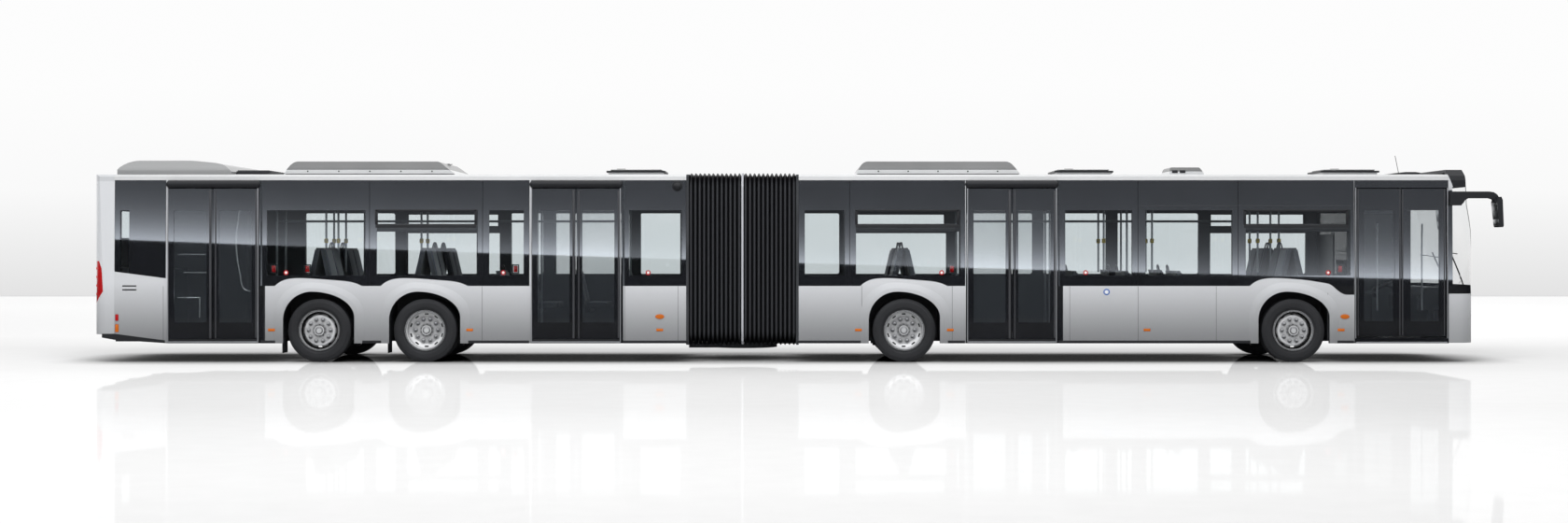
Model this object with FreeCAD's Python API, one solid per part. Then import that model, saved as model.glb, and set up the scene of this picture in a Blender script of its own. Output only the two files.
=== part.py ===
"""Articulated city bus on four axles, in millimetres.

+X is forward, +Y is the bus's left side, +Z is up. The origin is on the ground under the middle of the
whole bus, mirrors included. A station is a distance behind the foremost point of the front face.
"""
import math
import os

import FreeCAD, Part
from FreeCAD import Vector

os.makedirs("parts", exist_ok=True)

# Overall sizes
body_length = 20995
mirror_reach = 320
side_y = 1263
flare_proud = 12
side_lean = 25
overrun = 40
seat_gap = 0.3
bite = 1
parallel_limit = 1e-6

# Heights above the road
skirt_z = 285
belt_z = 1153
glass_top_z = 2755
cant_top_z = 2812
roof_edge_z = 2846
roof_crown_z = 2872
floor_top_z = 370
window_low_z = 1310
window_top_z = 2300

# Wall, floor, roof and glass thicknesses
wall_t = 60
floor_t = 60
roof_t = 60
cant_turn_share = 0.7
glass_t = 8
window_radius = 35
pillar_w = 180
pane_joint = 8

# Stations of the axles and of the pivot
front_axle_s = 2805
first_wheelbase = 5900
pivot_behind_second = 2453
third_behind_pivot = 4812
third_wheelbase = 1605
second_axle_s = front_axle_s + first_wheelbase
pivot_s = second_axle_s + pivot_behind_second
third_axle_s = pivot_s + third_behind_pivot
fourth_axle_s = third_axle_s + third_wheelbase

# Bays of the side, from the front: each is a pane or a doorway
corner_s = 458
doorway_1_w = 1430
sign_bay_w = 1760
second_bay_w = 1516
third_bay_w = 1206
doorway_w = 1412
axle_bay_w = 1752
bellows_half = 813
joint_bay_w = 1001
short_bay_w = 712
third_axle_bay_w = 1713
fourth_axle_bay_w = 1652
doorway_4_w = 1431
tail_bay_w = 780

# Wheels and tyres
tyre_r = 478
tyre_w = 276
tyre_bead_r = 292
tyre_shoulder = 30
tyre_bulge = 12
tyre_sides = 34
tyre_bead_w = 26
tyre_out_y = 1240
twin_spacing = 318
rim_flange_r = 310
rim_well_r = 284
rim_t = 12
disc_t = 14
disc_flat_r = 205
front_dish = 72
twin_dish = 46
nut_circle_r = 167.5
nut_count = 10
nut_across = 32
nut_h = 26
hand_slot_w = 62
hand_slot_h = 22
hand_slot_circle_r = 246
hub_r = 118
hub_cap_r = 74
hub_cap_h = 46
front_disc_depth = 42
twin_disc_depth = 168
spindle_r = 44
running_gap = 0.3
wheel_gap = 6

# Wheel arches, wheel housings and the glazed band's lower edge
arch_half = 540
arch_top_z = 1068
arch_crown_share = -0.2
arch_spring_front_share = 0.5
bump_half = 700
bump_rise = 118
bump_shares = ((-0.95, 0), (-0.69, 0.86), (-0.45, 1), (0, 0.89), (0.4, 0.71), (0.68, 0.52), (0.93, 0))
front_bump_shares = ((-0.95, 0), (-0.69, 0.86), (-0.45, 1), (0, 0.89), (0.4, 0.64), (0.61, 0.43),
                     (0.8, 0.14), (0.93, -0.49), (1.06, -1), (1.18, -1.13))
tail_glass_rear_z = 1370
tail_glass_front_z = 1268
tail_window_low_z = 1440
flare_outer_share = 1.26
flare_inner_share = 1.1
housing_t = 24
housing_top_z = 1110
single_housing_y = 470
twin_housing_y = 600
steer_housing_half = 620
twin_housing_half = 545

# Doors
leaf_t = 36
leaf_frame_w = 90
leaf_low_panel_h = 250
leaf_high_panel_h = 330
leaf_low_z = 350
leaf_top_z = 2625
leaf_pair_gap = 10
jamb_gap = 10
jamb_w = 25
lintel_z = 2640
plug_proud = 10
swing_inset = 20
swing_gap = 14
arm_gap = 5
hanger_w = 120
hanger_t = 30
hanger_h = 70
hood_r = 60
hood_z = 2694
post_out = 40
link_offset = 75
post_r = 18
arm_w = 30
arm_h = 22
foot_arm_h = 12
pin_r = 9
pin_gap = 1
lug_w = 34
lug_h = 16
bearing_h = 30
bearing_half = 30

# Joint between the two cars
fold_count = 12
fold_depth = 52
fold_skin = 5
bellows_low_z = 262
bellows_top_z = 2868
bellows_corner = 210
bellows_open_y = 1000
hoop_t = 30
portal_t = 40
portal_w = 70
platform_r = 790
platform_t = 40
ring_out_r = 520
ring_in_r = 360
ring_t = 62
ring_top_z = 300
tongue_half_y = 340

# Roof equipment
aircon_w = 1820
aircon_h = 189
aircon_front_s = 6872
aircon_rear_s = 9458
rear_aircon_front_s = 15504
rear_aircon_rear_s = 18218
aircon_rear_slope = 150
aircon_front_slope = 190
rear_aircon_front_slope = 330
aircon_round = 150
aircon_edge = 110
aircon_edge_round = 70
fan_r = 235
fan_hub_r = 70
fan_depth = 30
fan_count = 3
hatch_l = 850
hatch_w = 760
hatch_lid_t = 26
hatch_curb_h = 34
hatch_hinge_r = 9
hatch_hinge_l = 90
hatch_stations = (1705, 5853)
rear_hatch_s = 12838
vent_front_s = 3919
vent_rear_s = 4528
vent_w = 620
vent_h = 120
vent_rear_slope = 40
vent_front_slope = 110
vent_round = 40
vent_edge = 50
cowl_front_s = 18939
cowl_h = 194
cowl_half_y = 1130
cowl_edge = 130
cowl_edge_round = 90
cowl_shares = ((0, 0.24), (0.04, 0.6), (0.125, 0.93), (0.32, 1), (0.61, 0.99), (0.79, 0.85), (0.93, 0.6),
               (1, 0.1))

# Front end
mask_wall = 45
mask_bow = 45
mask_corner = 270
mask_low_z = 292
chin_back = 60
chin_front_back = 12
chin_shares = (0.14, 0.39)
floor_front_s = 300
screen_low_z = 1075
screen_top_z = 2650
screen_lean = 175
screen_shares = ((0.16, 0.22), (0.5, 0.59), (1, 0.83))
hood_top_z = 2918
hood_back = 30
hood_edge_in = 20
hood_edge_up = 10
hood_side_in = 150
lamp_w = 330
lamp_h = 190
lamp_z = 700
lamp_y = 905
lamp_inset = 6

# Rear end
rear_corner = 190
tail_low_z = 420
rear_window_low_z = 1890
rear_window_top_z = 2310
rear_window_half_y = 830
lid_low_z = 560
lid_top_z = 1372
lid_half_y = 860
lid_t = 40
lid_gap = 6
lid_slot_w = 620
lid_slot_h = 18
lid_slot_pitch = 52
lid_slot_count = 8
lid_slot_low_z = 640
flap_slot_front_s = 20338
flap_slot_rear_s = 20550
flap_slot_h = 20
flap_slots_z = (1153, 1095)
tail_lamp_low_z = 890
tail_lamp_top_z = 1530
tail_lamp_w = 150
tail_lamp_t = 22
tail_lamp_shares = ((0.12, 0), (1, 0.28), (0.86, 0.82), (0.55, 1))

# Seats, rails and the driver's place
seat_w = 440
seat_back_h = 560
seat_cushion_h = 450
seat_depth = 430
seat_shell_t = 60
seat_lean = 130
seat_pitch = 790
seat_overlap = 10
rail_r = 17
rail_bar_r = 14
rail_z = 2150
rail_y = 270
engine_l = 600
engine_w = 1150
engine_h = 820
tower_s = 19009
tower_y = 40
tower_top_z = 2740
shelf_s = 19960
shelf_z = 1410
bulkhead_t = 30
dash_front_s = 130
dash_rear_s = 640
dash_low_z = 760
dash_top_z = 1120
dash_right_y = 330
dash_left_y = 1130
dash_foot_w = 160
cab_wall_s = 1760
cab_wall_y = 280
cab_wall_top_z = 1950
driver_seat_s = 1420
driver_seat_y = 760
driver_step_h = 160
steering_lean_share = 0.5
wheel_ring_r = 230
wheel_ring_t = 26
column_r = 32
mirror_y = 1290
mirror_arm_w = 64
mirror_head_w = 250
mirror_top_z = 2582
mirror_low_z = 2042
mirror_root_low_z = 2372
mirror_root_front_s = 290
mirror_root_rear_s = 455
mirror_arm_shares = ((0, 0), (0.69, 0), (0.81, 0.02), (0.89, 0.08), (0.96, 0.2), (0.985, 0.3), (0.83, 0.3),
                     (0.78, 0.22), (0.69, 0.19), (0.18, 0.19), (0.1, 0.24), (0.05, 0.33), (0, 0.37))
mirror_head_shares = ((0.86, 0.16), (0.94, 0.15), (0.975, 0.24), (1, 0.95), (0.985, 1), (0.91, 1), (0.895, 0.97),
                      (0.83, 0.3))

# Axles
beam_low_z = 215
beam_h = 75
beam_w = 110
beam_straight_y = 560
kingpin_y = 905
kingpin_r = 22
eye_r = 42
eye_half_h = 70
fork_t = 36
fork_gap = 2
air_spring_r = 110
air_spring_y = 320
riser_out_y = 776
riser_w = 76
steered_rise_w = 190
fixed_rise_w = 12
knuckle_plate_t = 34
brake_r = 205
brake_w = 60
drive_l = 275
drive_w = 264

# Worked out from the sizes above
front_x = (body_length - mirror_reach) / 2
wall_in_y = side_y - wall_t
floor_low_z = floor_top_z - floor_t
bellows_front_s = pivot_s - bellows_half
bellows_rear_s = pivot_s + bellows_half
doorway_1_s = corner_s
sign_bay_s = doorway_1_s + doorway_1_w
second_bay_s = sign_bay_s + sign_bay_w
third_bay_s = second_bay_s + second_bay_w
doorway_2_s = third_bay_s + third_bay_w
axle_bay_s = doorway_2_s + doorway_w
last_bay_s = axle_bay_s + axle_bay_w
joint_bay_s = bellows_rear_s
doorway_3_s = joint_bay_s + joint_bay_w
short_bay_s = doorway_3_s + doorway_w
third_axle_bay_s = short_bay_s + short_bay_w
fourth_axle_bay_s = third_axle_bay_s + third_axle_bay_w
doorway_4_s = fourth_axle_bay_s + fourth_axle_bay_w
tail_bay_s = doorway_4_s + doorway_4_w
tail_s = tail_bay_s + tail_bay_w
pivot_x = front_x - pivot_s
swing_leaf_w = doorway_1_w / 2 - jamb_w - swing_gap - leaf_pair_gap / 2
arm_length = swing_leaf_w / 2 + post_out
link_y = side_y - swing_inset - leaf_t / 2 - link_offset
post_stations = (doorway_1_s + jamb_w + swing_gap - post_out,
                 doorway_1_s + doorway_1_w - jamb_w - swing_gap + post_out)
arms = ((floor_top_z + arm_gap, foot_arm_h), (leaf_top_z + arm_gap, arm_h))
swing_leaf_low_z = floor_top_z + 2 * arm_gap + foot_arm_h
bearing_z = leaf_top_z + 2 * arm_gap + arm_h


def at(station):
    """The x of a station."""
    return front_x - station


def export(name, *shapes):
    """Writes one node: every shape is a closed solid, and solids of one node don't touch."""
    solids = [solid for shape in shapes for solid in shape.Solids]
    for solid in solids:
        assert solid.isValid() and solid.Volume > 0, name
    whole = solids[0] if len(solids) == 1 else Part.makeCompound(solids)
    whole.exportStep("parts/" + name + ".step")


def block(x_low, x_high, y_low, y_high, z_low, z_high):
    return Part.makeBox(x_high - x_low, y_high - y_low, z_high - z_low, Vector(x_low, y_low, z_low))


def closed(points):
    return Part.makePolygon(list(points) + [points[0]])


def prism(wire, direction):
    return Part.Face(wire).extrude(direction)


def prism_xz(points, y_low, y_high):
    """A prism along Y over an outline given as (x, z)."""
    wire = closed([Vector(x, y_low, z) for x, z in points])
    return prism(wire, Vector(0, y_high - y_low, 0))


def prism_yz(points, x_low, x_high):
    """A prism along X over an outline given as (y, z)."""
    wire = closed([Vector(x_low, y, z) for y, z in points])
    return prism(wire, Vector(x_high - x_low, 0, 0))


def tube_z(radius, x, y, z_low, z_high):
    return Part.makeCylinder(radius, z_high - z_low, Vector(x, y, z_low))


def tube_y(radius, x, z, y_low, y_high):
    return Part.makeCylinder(radius, y_high - y_low, Vector(x, y_low, z), Vector(0, 1, 0))


def fused(shapes):
    shapes = list(shapes)
    whole = shapes[0] if len(shapes) == 1 else shapes[0].multiFuse(shapes[1:])
    return whole.removeSplitter()


def mirrored(shape):
    """The same shape on the other side of the bus."""
    return shape.mirror(Vector(0, 0, 0), Vector(0, 1, 0))


def sided(shape, side):
    """A shape made for the left side, put on the left (+1) or the right (-1)."""
    return shape if side > 0 else mirrored(shape)


def rounded(shape, radius, along):
    """Rounds the straight edges that run along one axis."""
    edges = [e for e in shape.Edges if e.Length > 0 and
             abs(abs((e.Vertexes[-1].Point - e.Vertexes[0].Point).normalize().dot(along)) - 1) < parallel_limit]
    return shape.makeFillet(radius, edges)


# Side walls and side glass
def skin_y(z):
    """Half the body's width at a height: upright to the belt, leaning in above it."""
    lean = max(0, z - belt_z) / (glass_top_z - belt_z) * side_lean
    return side_y - lean


def skin_layer(depth, thickness, z_low, z_high, s_front, s_rear):
    """A layer of the left side, some depth inside its outer face."""
    heights = [z_low, belt_z, z_high] if z_low < belt_z < z_high else [z_low, z_high]
    outer = [(skin_y(z) - depth, z) for z in heights]
    inner = [(skin_y(z) - depth - thickness, z) for z in reversed(heights)]
    return prism_yz(outer + inner, at(s_rear), at(s_front))


def quarter(centre_x, centre_z, radius_x, radius_z, quadrant, y):
    """A quarter of an ellipse in the XZ plane, from its side point up to its top point."""
    centre = Vector(centre_x, y, centre_z)
    side_point = centre + Vector(radius_x * quadrant, 0, 0)
    top_point = centre + Vector(0, 0, radius_z)
    slant = math.sqrt(0.5)
    middle = centre + Vector(radius_x * quadrant * slant, 0, radius_z * slant)
    if abs(radius_x - radius_z) < bite:
        return Part.Arc(side_point, middle, top_point).toShape()
    wide = radius_x > radius_z
    ellipse = Part.Ellipse(side_point if wide else top_point, top_point if wide else side_point, centre)
    return Part.ArcOfEllipse(ellipse, 0, math.pi / 2).toShape()


def arch_wire(axle_s, share, y):
    """The outline of a wheel arch, with its crown behind the axle and its longer side in front."""
    half = arch_half * share
    rise = arch_top_z - skirt_z + (share - 1) * arch_half
    crown_x = at(axle_s) + arch_crown_share * half
    low_z = skirt_z - overrun
    rear_x = at(axle_s) - half
    front_x_here = at(axle_s) + half
    rear_r = crown_x - rear_x
    rear_spring_z = skirt_z + rise - rear_r
    front_spring_z = skirt_z + rise * arch_spring_front_share
    rear_arc = quarter(crown_x, rear_spring_z, rear_r, rear_r, -1, y)
    front_arc = quarter(crown_x, front_spring_z, front_x_here - crown_x,
                        rise - rise * arch_spring_front_share, 1, y)
    corners = [Vector(rear_x, y, rear_spring_z), Vector(rear_x, y, low_z),
               Vector(front_x_here, y, low_z), Vector(front_x_here, y, front_spring_z)]
    lines = [Part.makeLine(a, b) for a, b in zip(corners, corners[1:])]
    return Part.Wire(Part.__sortEdges__([rear_arc, front_arc] + lines))


def arch_flare(axle_s):
    """The raised lip round a wheel arch of the left side."""
    base = arch_wire(axle_s, flare_outer_share, side_y)
    crest = arch_wire(axle_s, flare_inner_share, side_y + flare_proud)
    half = arch_half * flare_outer_share + overrun
    keep = block(at(axle_s) - half, at(axle_s) + half, 0, side_y + flare_proud + overrun, skirt_z, glass_top_z)
    return Part.makeLoft([base, crest], True, True).common(keep)


def belt_points(axle_s, shares):
    return [(at(axle_s) + bump_half * along, belt_z + bump_rise * up) for along, up in shares]


def band_prism(s_front, s_rear, gap, foot):
    """The glazed band of one bay of the left side.

    Its foot is None for the straight belt, an axle's station for the bump above it, or the two heights of the
    tail's slanting edge, rear one first.
    """
    rear_x, bay_front_x = at(s_rear) + gap, at(s_front) - gap
    y = side_y - wall_t
    rear_low_z = front_low_z = belt_z + gap
    if isinstance(foot, tuple):
        rear_low_z, front_low_z = foot[0] + gap, foot[1] + gap
    if foot is None or isinstance(foot, tuple):
        low = [Part.makeLine(Vector(rear_x, y, rear_low_z), Vector(bay_front_x, y, front_low_z))]
    else:
        shares = front_bump_shares if foot == front_axle_s else bump_shares
        points = [Vector(x, y, z + gap) for x, z in belt_points(foot, shares)]
        curve = Part.BSplineCurve()
        curve.interpolate(points)
        front_low_z = points[-1].z
        low = [Part.makeLine(Vector(rear_x, y, rear_low_z), points[0]), curve.toShape(),
               Part.makeLine(points[-1], Vector(bay_front_x, y, front_low_z))]
    rest = [Vector(bay_front_x, y, front_low_z), Vector(bay_front_x, y, glass_top_z - gap),
            Vector(rear_x, y, glass_top_z - gap), Vector(rear_x, y, rear_low_z)]
    lines = low + [Part.makeLine(a, b) for a, b in zip(rest, rest[1:])]
    wire = Part.Wire(Part.__sortEdges__(lines))
    return prism(wire, Vector(0, wall_t + overrun, 0))


def window_hole(s_front, s_rear, z_low, z_high):
    hole = block(at(s_rear), at(s_front), wall_in_y - side_lean - overrun, side_y + overrun, z_low, z_high)
    return rounded(hole, window_radius, Vector(0, 1, 0))


def side_wall(bays, side, arches, rise_from=None):
    """A side wall as one solid: skirt, pillars and top rail, recessed where the glass lies on it.

    A bay is (front station, rear station, kind, foot): kinds are pane, blind and door, and the foot is the
    glazed band's lower edge.
    """
    s_front, s_rear = bays[0][0], bays[-1][1]
    wall = skin_layer(0, wall_t, skirt_z, glass_top_z, s_front, s_rear)
    wall = fused([wall] + [arch_flare(s) for s in arches])
    cuts = [prism(arch_wire(s, 1, wall_in_y - overrun), Vector(0, wall_t + 3 * overrun, 0)) for s in arches]
    recess = skin_layer(-bite, glass_t + seat_gap + bite, screen_low_z - bump_rise, glass_top_z + bite, s_front,
                        s_rear)
    for front, rear, kind, foot in bays:
        if kind == "door" and side < 0:
            sill_z = floor_top_z if front == doorway_1_s else leaf_low_z - jamb_gap
            cuts.append(block(at(rear) + jamb_w, at(front) - jamb_w, wall_in_y - side_lean - overrun,
                              side_y + overrun, sill_z, lintel_z))
            continue
        cuts.append(recess.common(band_prism(front, rear, 0, foot)))
        if kind != "blind":
            low_z = tail_window_low_z if isinstance(foot, tuple) else window_low_z
            cuts.append(window_hole(front + pillar_w / 2, rear - pillar_w / 2, low_z, window_top_z))
    if rise_from is not None:
        cuts.append(prism_xz([(at(rise_from), skirt_z - overrun), (at(rise_from), skirt_z),
                              (at(body_length), tail_low_z), (at(body_length), skirt_z - overrun)],
                             wall_in_y - overrun, side_y + overrun))
    wall = wall.cut(cuts)
    return sided(wall, side)


def side_panes(bays, side):
    """The panes of one side, bonded flush on the wall."""
    s_front, s_rear = bays[0][0], bays[-1][1]
    layer = skin_layer(0, glass_t, screen_low_z - bump_rise, glass_top_z, s_front, s_rear)
    panes = []
    for front, rear, kind, foot in bays:
        if kind == "door" and side < 0:
            continue
        pane = layer.common(band_prism(front, rear, pane_joint / 2, foot))
        panes += [sided(solid, side) for solid in pane.Solids]
    return panes


front_bays = [
    (doorway_1_s, sign_bay_s, "door", None),
    (sign_bay_s, second_bay_s, "pane", front_axle_s),
    (second_bay_s, third_bay_s, "pane", None),
    (third_bay_s, doorway_2_s, "pane", None),
    (doorway_2_s, axle_bay_s, "door", None),
    (axle_bay_s, last_bay_s, "pane", second_axle_s),
    (last_bay_s, bellows_front_s - portal_t, "pane", None),
]
rear_bays = [
    (joint_bay_s + portal_t, doorway_3_s, "pane", None),
    (doorway_3_s, short_bay_s, "door", None),
    (short_bay_s, third_axle_bay_s, "pane", None),
    (third_axle_bay_s, fourth_axle_bay_s, "pane", third_axle_s),
    (fourth_axle_bay_s, doorway_4_s, "pane", fourth_axle_s),
    (doorway_4_s, tail_bay_s, "door", None),
    (tail_bay_s, tail_s, "pane", (tail_glass_rear_z, tail_glass_front_z)),
]
front_arches = (front_axle_s, second_axle_s)
rear_arches = (third_axle_s, fourth_axle_s)
rear_left_bays = [bay if bay[0] < doorway_4_s else (bay[0], bay[1], "blind", bay[3]) for bay in rear_bays]


def post_bearing(station):
    """The bracket inside the wall of the right side that holds a front door post's head."""
    x, high_z = at(station), bearing_z + bearing_h
    return mirrored(block(x - bearing_half, x + bearing_half, link_y - bearing_half,
                          skin_y(high_z) - wall_t + seat_overlap, bearing_z, high_z))


def flap_slots():
    """The two air slots in the service flap behind the last door, on the right."""
    return [mirrored(block(at(flap_slot_rear_s), at(flap_slot_front_s), wall_in_y - overrun, side_y + overrun,
                           z - flap_slot_h / 2, z + flap_slot_h / 2)) for z in flap_slots_z]


front_right_wall = side_wall(front_bays, -1, front_arches)
export("front_side_right", fused([front_right_wall] + [post_bearing(s) for s in post_stations]))
export("front_side_left", side_wall(front_bays, 1, front_arches))
export("rear_side_right", side_wall(rear_bays, -1, rear_arches, tail_bay_s).cut(flap_slots()))
export("rear_side_left", side_wall(rear_left_bays, 1, rear_arches, tail_bay_s))


# Roofs
def roof_section(inset):
    """Half outline of the roof as (y, z), from the top of the wall up to the middle."""
    edge_y = skin_y(glass_top_z) - inset
    shoulder_y = edge_y - (roof_edge_z - glass_top_z) - inset
    return [(edge_y, glass_top_z), (edge_y, cant_top_z - inset),
            (edge_y - (roof_edge_z - cant_top_z),
             roof_edge_z - inset * cant_turn_share - (roof_edge_z - cant_top_z) * (1 - cant_turn_share)),
            (shoulder_y, roof_edge_z - inset), (0, roof_crown_z - inset)]


def roof_solid(inset, s_front, s_rear, low_z):
    """Everything under the roof's outline, down to a height."""
    half = roof_section(inset)
    half[0] = (half[0][0], low_z)
    other = [(-y, z) for y, z in reversed(half[:-1])]
    return prism_yz(half + other, at(s_rear), at(s_front))


def roof_shell(s_front, s_rear):
    outer = roof_solid(0, s_front, s_rear, glass_top_z + seat_gap)
    inner = roof_solid(roof_t, s_front - overrun, s_rear + overrun, glass_top_z - overrun)
    return outer.cut(inner)


def hatch_hole(station):
    x = at(station)
    return block(x - hatch_l / 2 + hatch_curb_h, x + hatch_l / 2 - hatch_curb_h,
                 -hatch_w / 2 + hatch_curb_h, hatch_w / 2 - hatch_curb_h,
                 roof_crown_z - roof_t - overrun, roof_crown_z + hatch_curb_h + overrun)


def hatch_curb(station):
    """The upstand that a roof hatch closes on."""
    x = at(station)
    return block(x - hatch_l / 2, x + hatch_l / 2, -hatch_w / 2, hatch_w / 2,
                 roof_crown_z - roof_t / 2, roof_crown_z + hatch_curb_h)


def hatch_lid(station):
    """A shallow lid over the curb, with a raised middle panel and two hinge knuckles at its front edge."""
    x = at(station)
    low_z = roof_crown_z + hatch_curb_h + seat_gap
    top_z = low_z + hatch_lid_t
    lip = hatch_curb_h
    lid = block(x - hatch_l / 2 - lip, x + hatch_l / 2 + lip, -hatch_w / 2 - lip, hatch_w / 2 + lip, low_z,
                top_z)
    lid = rounded(lid, lip, Vector(0, 0, 1))
    panel = block(x - hatch_l / 2 + lip, x + hatch_l / 2 - lip, -hatch_w / 2 + lip, hatch_w / 2 - lip,
                  top_z - bite, top_z + hatch_lid_t / 2)
    hinge_x = x + hatch_l / 2 + lip
    knuckles = [tube_y(hatch_hinge_r, hinge_x, low_z, side * hatch_w / 4 - hatch_hinge_l / 2,
                       side * hatch_w / 4 + hatch_hinge_l / 2) for side in (-1, 1)]
    return fused([lid, panel] + knuckles)


front_roof_stations = (corner_s, bellows_front_s - portal_t)
rear_roof_stations = (bellows_rear_s + portal_t, tail_s)
front_roof = fused([roof_shell(*front_roof_stations)] + [hatch_curb(s) for s in hatch_stations])
export("front_roof", front_roof.cut([hatch_hole(s) for s in hatch_stations]))
rear_roof = fused([roof_shell(*rear_roof_stations), hatch_curb(rear_hatch_s)])
export("rear_roof", rear_roof.cut([hatch_hole(rear_hatch_s)]))
for number, hatch_station in enumerate(hatch_stations + (rear_hatch_s,), 1):
    export("roof_hatch_%d" % number, hatch_lid(hatch_station))


# Roof equipment
def crowned(side, s_front, s_rear, half_y, top_z, edge, edge_round):
    """A closed housing on the roof from its side view, drawn in and rounded along both of its long edges."""
    low_z = roof_edge_z - roof_t / 2
    half = [(half_y, low_z), (half_y, top_z - edge), (half_y - edge, top_z)]
    across = prism_yz(half + [(-y, z) for y, z in reversed(half)], at(s_rear) - overrun, at(s_front) + overrun)
    across = rounded_at(across, edge_round, Vector(1, 0, 0), top_z - edge - overrun)
    under = roof_solid(-seat_gap, s_front - 2 * overrun, s_rear + 2 * overrun, low_z - overrun)
    return side.common(across).cut(under)


def rounded_at(shape, radius, along, over_z):
    """Rounds the straight edges that run along one axis and lie higher than a height."""
    edges = [e for e in shape.Edges if e.CenterOfMass.z > over_z and
             abs(abs((e.Vertexes[-1].Point - e.Vertexes[0].Point).normalize().dot(along)) - 1) < parallel_limit]
    return shape.makeFillet(radius, edges)


def roof_housing(s_front, s_rear, half_y, height, slopes, round_r, edge, edge_round):
    """A housing with sloped ends, the rear slope first, and rounded tops."""
    low_z, top_z = roof_edge_z - roof_t / 2, roof_crown_z + height
    side = prism_xz([(at(s_rear), low_z), (at(s_rear) + slopes[0], top_z), (at(s_front) - slopes[1], top_z),
                     (at(s_front), low_z)], -half_y - overrun, half_y + overrun)
    side = rounded_at(side, round_r, Vector(0, 1, 0), top_z - height)
    return crowned(side, s_front, s_rear, half_y, top_z + bite, edge, edge_round)


def fan_wells(s_front, s_rear):
    """Round grooves in a housing's top, in which its fans blow."""
    top_z = roof_crown_z + aircon_h
    wells = []
    for i in range(fan_count):
        x = at(s_front + (s_rear - s_front) * (i + 1) / (fan_count + 1))
        well = tube_z(fan_r, x, 0, top_z - fan_depth, top_z + overrun)
        wells.append(well.cut(tube_z(fan_hub_r, x, 0, 0, top_z + 2 * overrun)))
    return wells


def tail_cowl():
    """The long cowl over the tail, high at the rear and falling in a curve towards the front."""
    length = tail_s - seat_gap - cowl_front_s
    rear_x, low_z = at(tail_s - seat_gap), roof_edge_z - roof_t / 2
    y = -cowl_half_y - overrun
    points = [Vector(rear_x + along * length, y, roof_crown_z + up * cowl_h) for along, up in cowl_shares]
    curve = Part.BSplineCurve()
    curve.interpolate(points)
    corners = [points[-1], Vector(rear_x + length, y, low_z), Vector(rear_x, y, low_z), points[0]]
    lines = [Part.makeLine(a, b) for a, b in zip(corners, corners[1:])]
    side = prism(Part.Wire(Part.__sortEdges__([curve.toShape()] + lines)), Vector(0, -2 * y, 0))
    return crowned(side, cowl_front_s, tail_s - seat_gap, cowl_half_y, roof_crown_z + cowl_h + bite, cowl_edge,
                   cowl_edge_round)


front_aircon = roof_housing(aircon_front_s, aircon_rear_s, aircon_w / 2, aircon_h,
                            (aircon_rear_slope, aircon_front_slope), aircon_round, aircon_edge, aircon_edge_round)
front_aircon = front_aircon.cut(fan_wells(aircon_front_s, aircon_rear_s))
vent = roof_housing(vent_front_s, vent_rear_s, vent_w / 2, vent_h, (vent_rear_slope, vent_front_slope), vent_round,
                    vent_edge, vent_round)
export("front_roof_housings", front_aircon, vent)
rear_aircon = roof_housing(rear_aircon_front_s, rear_aircon_rear_s, aircon_w / 2, aircon_h,
                           (aircon_rear_slope, rear_aircon_front_slope), aircon_round, aircon_edge,
                           aircon_edge_round)
rear_aircon = rear_aircon.cut(fan_wells(rear_aircon_front_s, rear_aircon_rear_s))
export("rear_roof_housings", rear_aircon, tail_cowl())


# Form of the front end
def side_profile(inset, s_rear):
    """The front end seen from the side, as (x, z)."""
    chin_h, screen_h = screen_low_z - mask_low_z, screen_top_z - screen_low_z
    chin = [(at(s_rear), mask_low_z + inset), (at(chin_back + inset), mask_low_z + inset),
            (at(chin_front_back + inset), mask_low_z + chin_shares[0] * chin_h),
            (at(inset), mask_low_z + chin_shares[1] * chin_h)]
    screen = [(at(screen_lean * back + inset), screen_low_z + up * screen_h) for back, up in screen_shares]
    return chin + [(at(inset), screen_low_z)] + screen + [
        (at(screen_lean + hood_back + inset), hood_top_z - inset), (at(s_rear), hood_top_z - inset)]


def plan_wire(inset, z, s_rear):
    """The front end seen from above: a bowed face and round corners."""
    y = side_y - inset
    corner = mask_corner - inset / 2
    face_x, corner_x = at(inset), at(mask_bow + inset)
    slant = math.sqrt(0.5)
    half_y = y - corner
    left_corner = Part.Arc(Vector(corner_x - corner, y, z),
                           Vector(corner_x - corner + corner * slant, half_y + corner * slant, z),
                           Vector(corner_x, half_y, z)).toShape()
    face = Part.Arc(Vector(corner_x, half_y, z), Vector(face_x, 0, z), Vector(corner_x, -half_y, z)).toShape()
    right_corner = Part.Arc(Vector(corner_x, -half_y, z),
                            Vector(corner_x - corner + corner * slant, -half_y - corner * slant, z),
                            Vector(corner_x - corner, -y, z)).toShape()
    rear_x = at(s_rear)
    lines = [Part.makeLine(Vector(corner_x - corner, -y, z), Vector(rear_x, -y, z)),
             Part.makeLine(Vector(rear_x, -y, z), Vector(rear_x, y, z)),
             Part.makeLine(Vector(rear_x, y, z), Vector(corner_x - corner, y, z))]
    return Part.Wire([left_corner, face, right_corner] + lines)


def front_form(inset, s_rear):
    """The closed form of the front end, drawn in by an inset on every face but its open rear."""
    side = prism_xz(side_profile(inset, s_rear), -side_y - overrun, side_y + overrun)
    plan = prism(plan_wire(inset, 0, s_rear), Vector(0, 0, hood_top_z + overrun))
    edge_y, top_y = side_y - inset, skin_y(glass_top_z) - inset
    half = [(edge_y, 0), (edge_y, belt_z), (top_y, glass_top_z),
            (top_y - hood_edge_in, cant_top_z + hood_edge_up), (top_y - hood_side_in, hood_top_z - inset + bite)]
    section = prism_yz(half + [(-y, z) for y, z in reversed(half)], at(s_rear), at(0) + overrun)
    return side.common([plan]).common(section)


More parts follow.
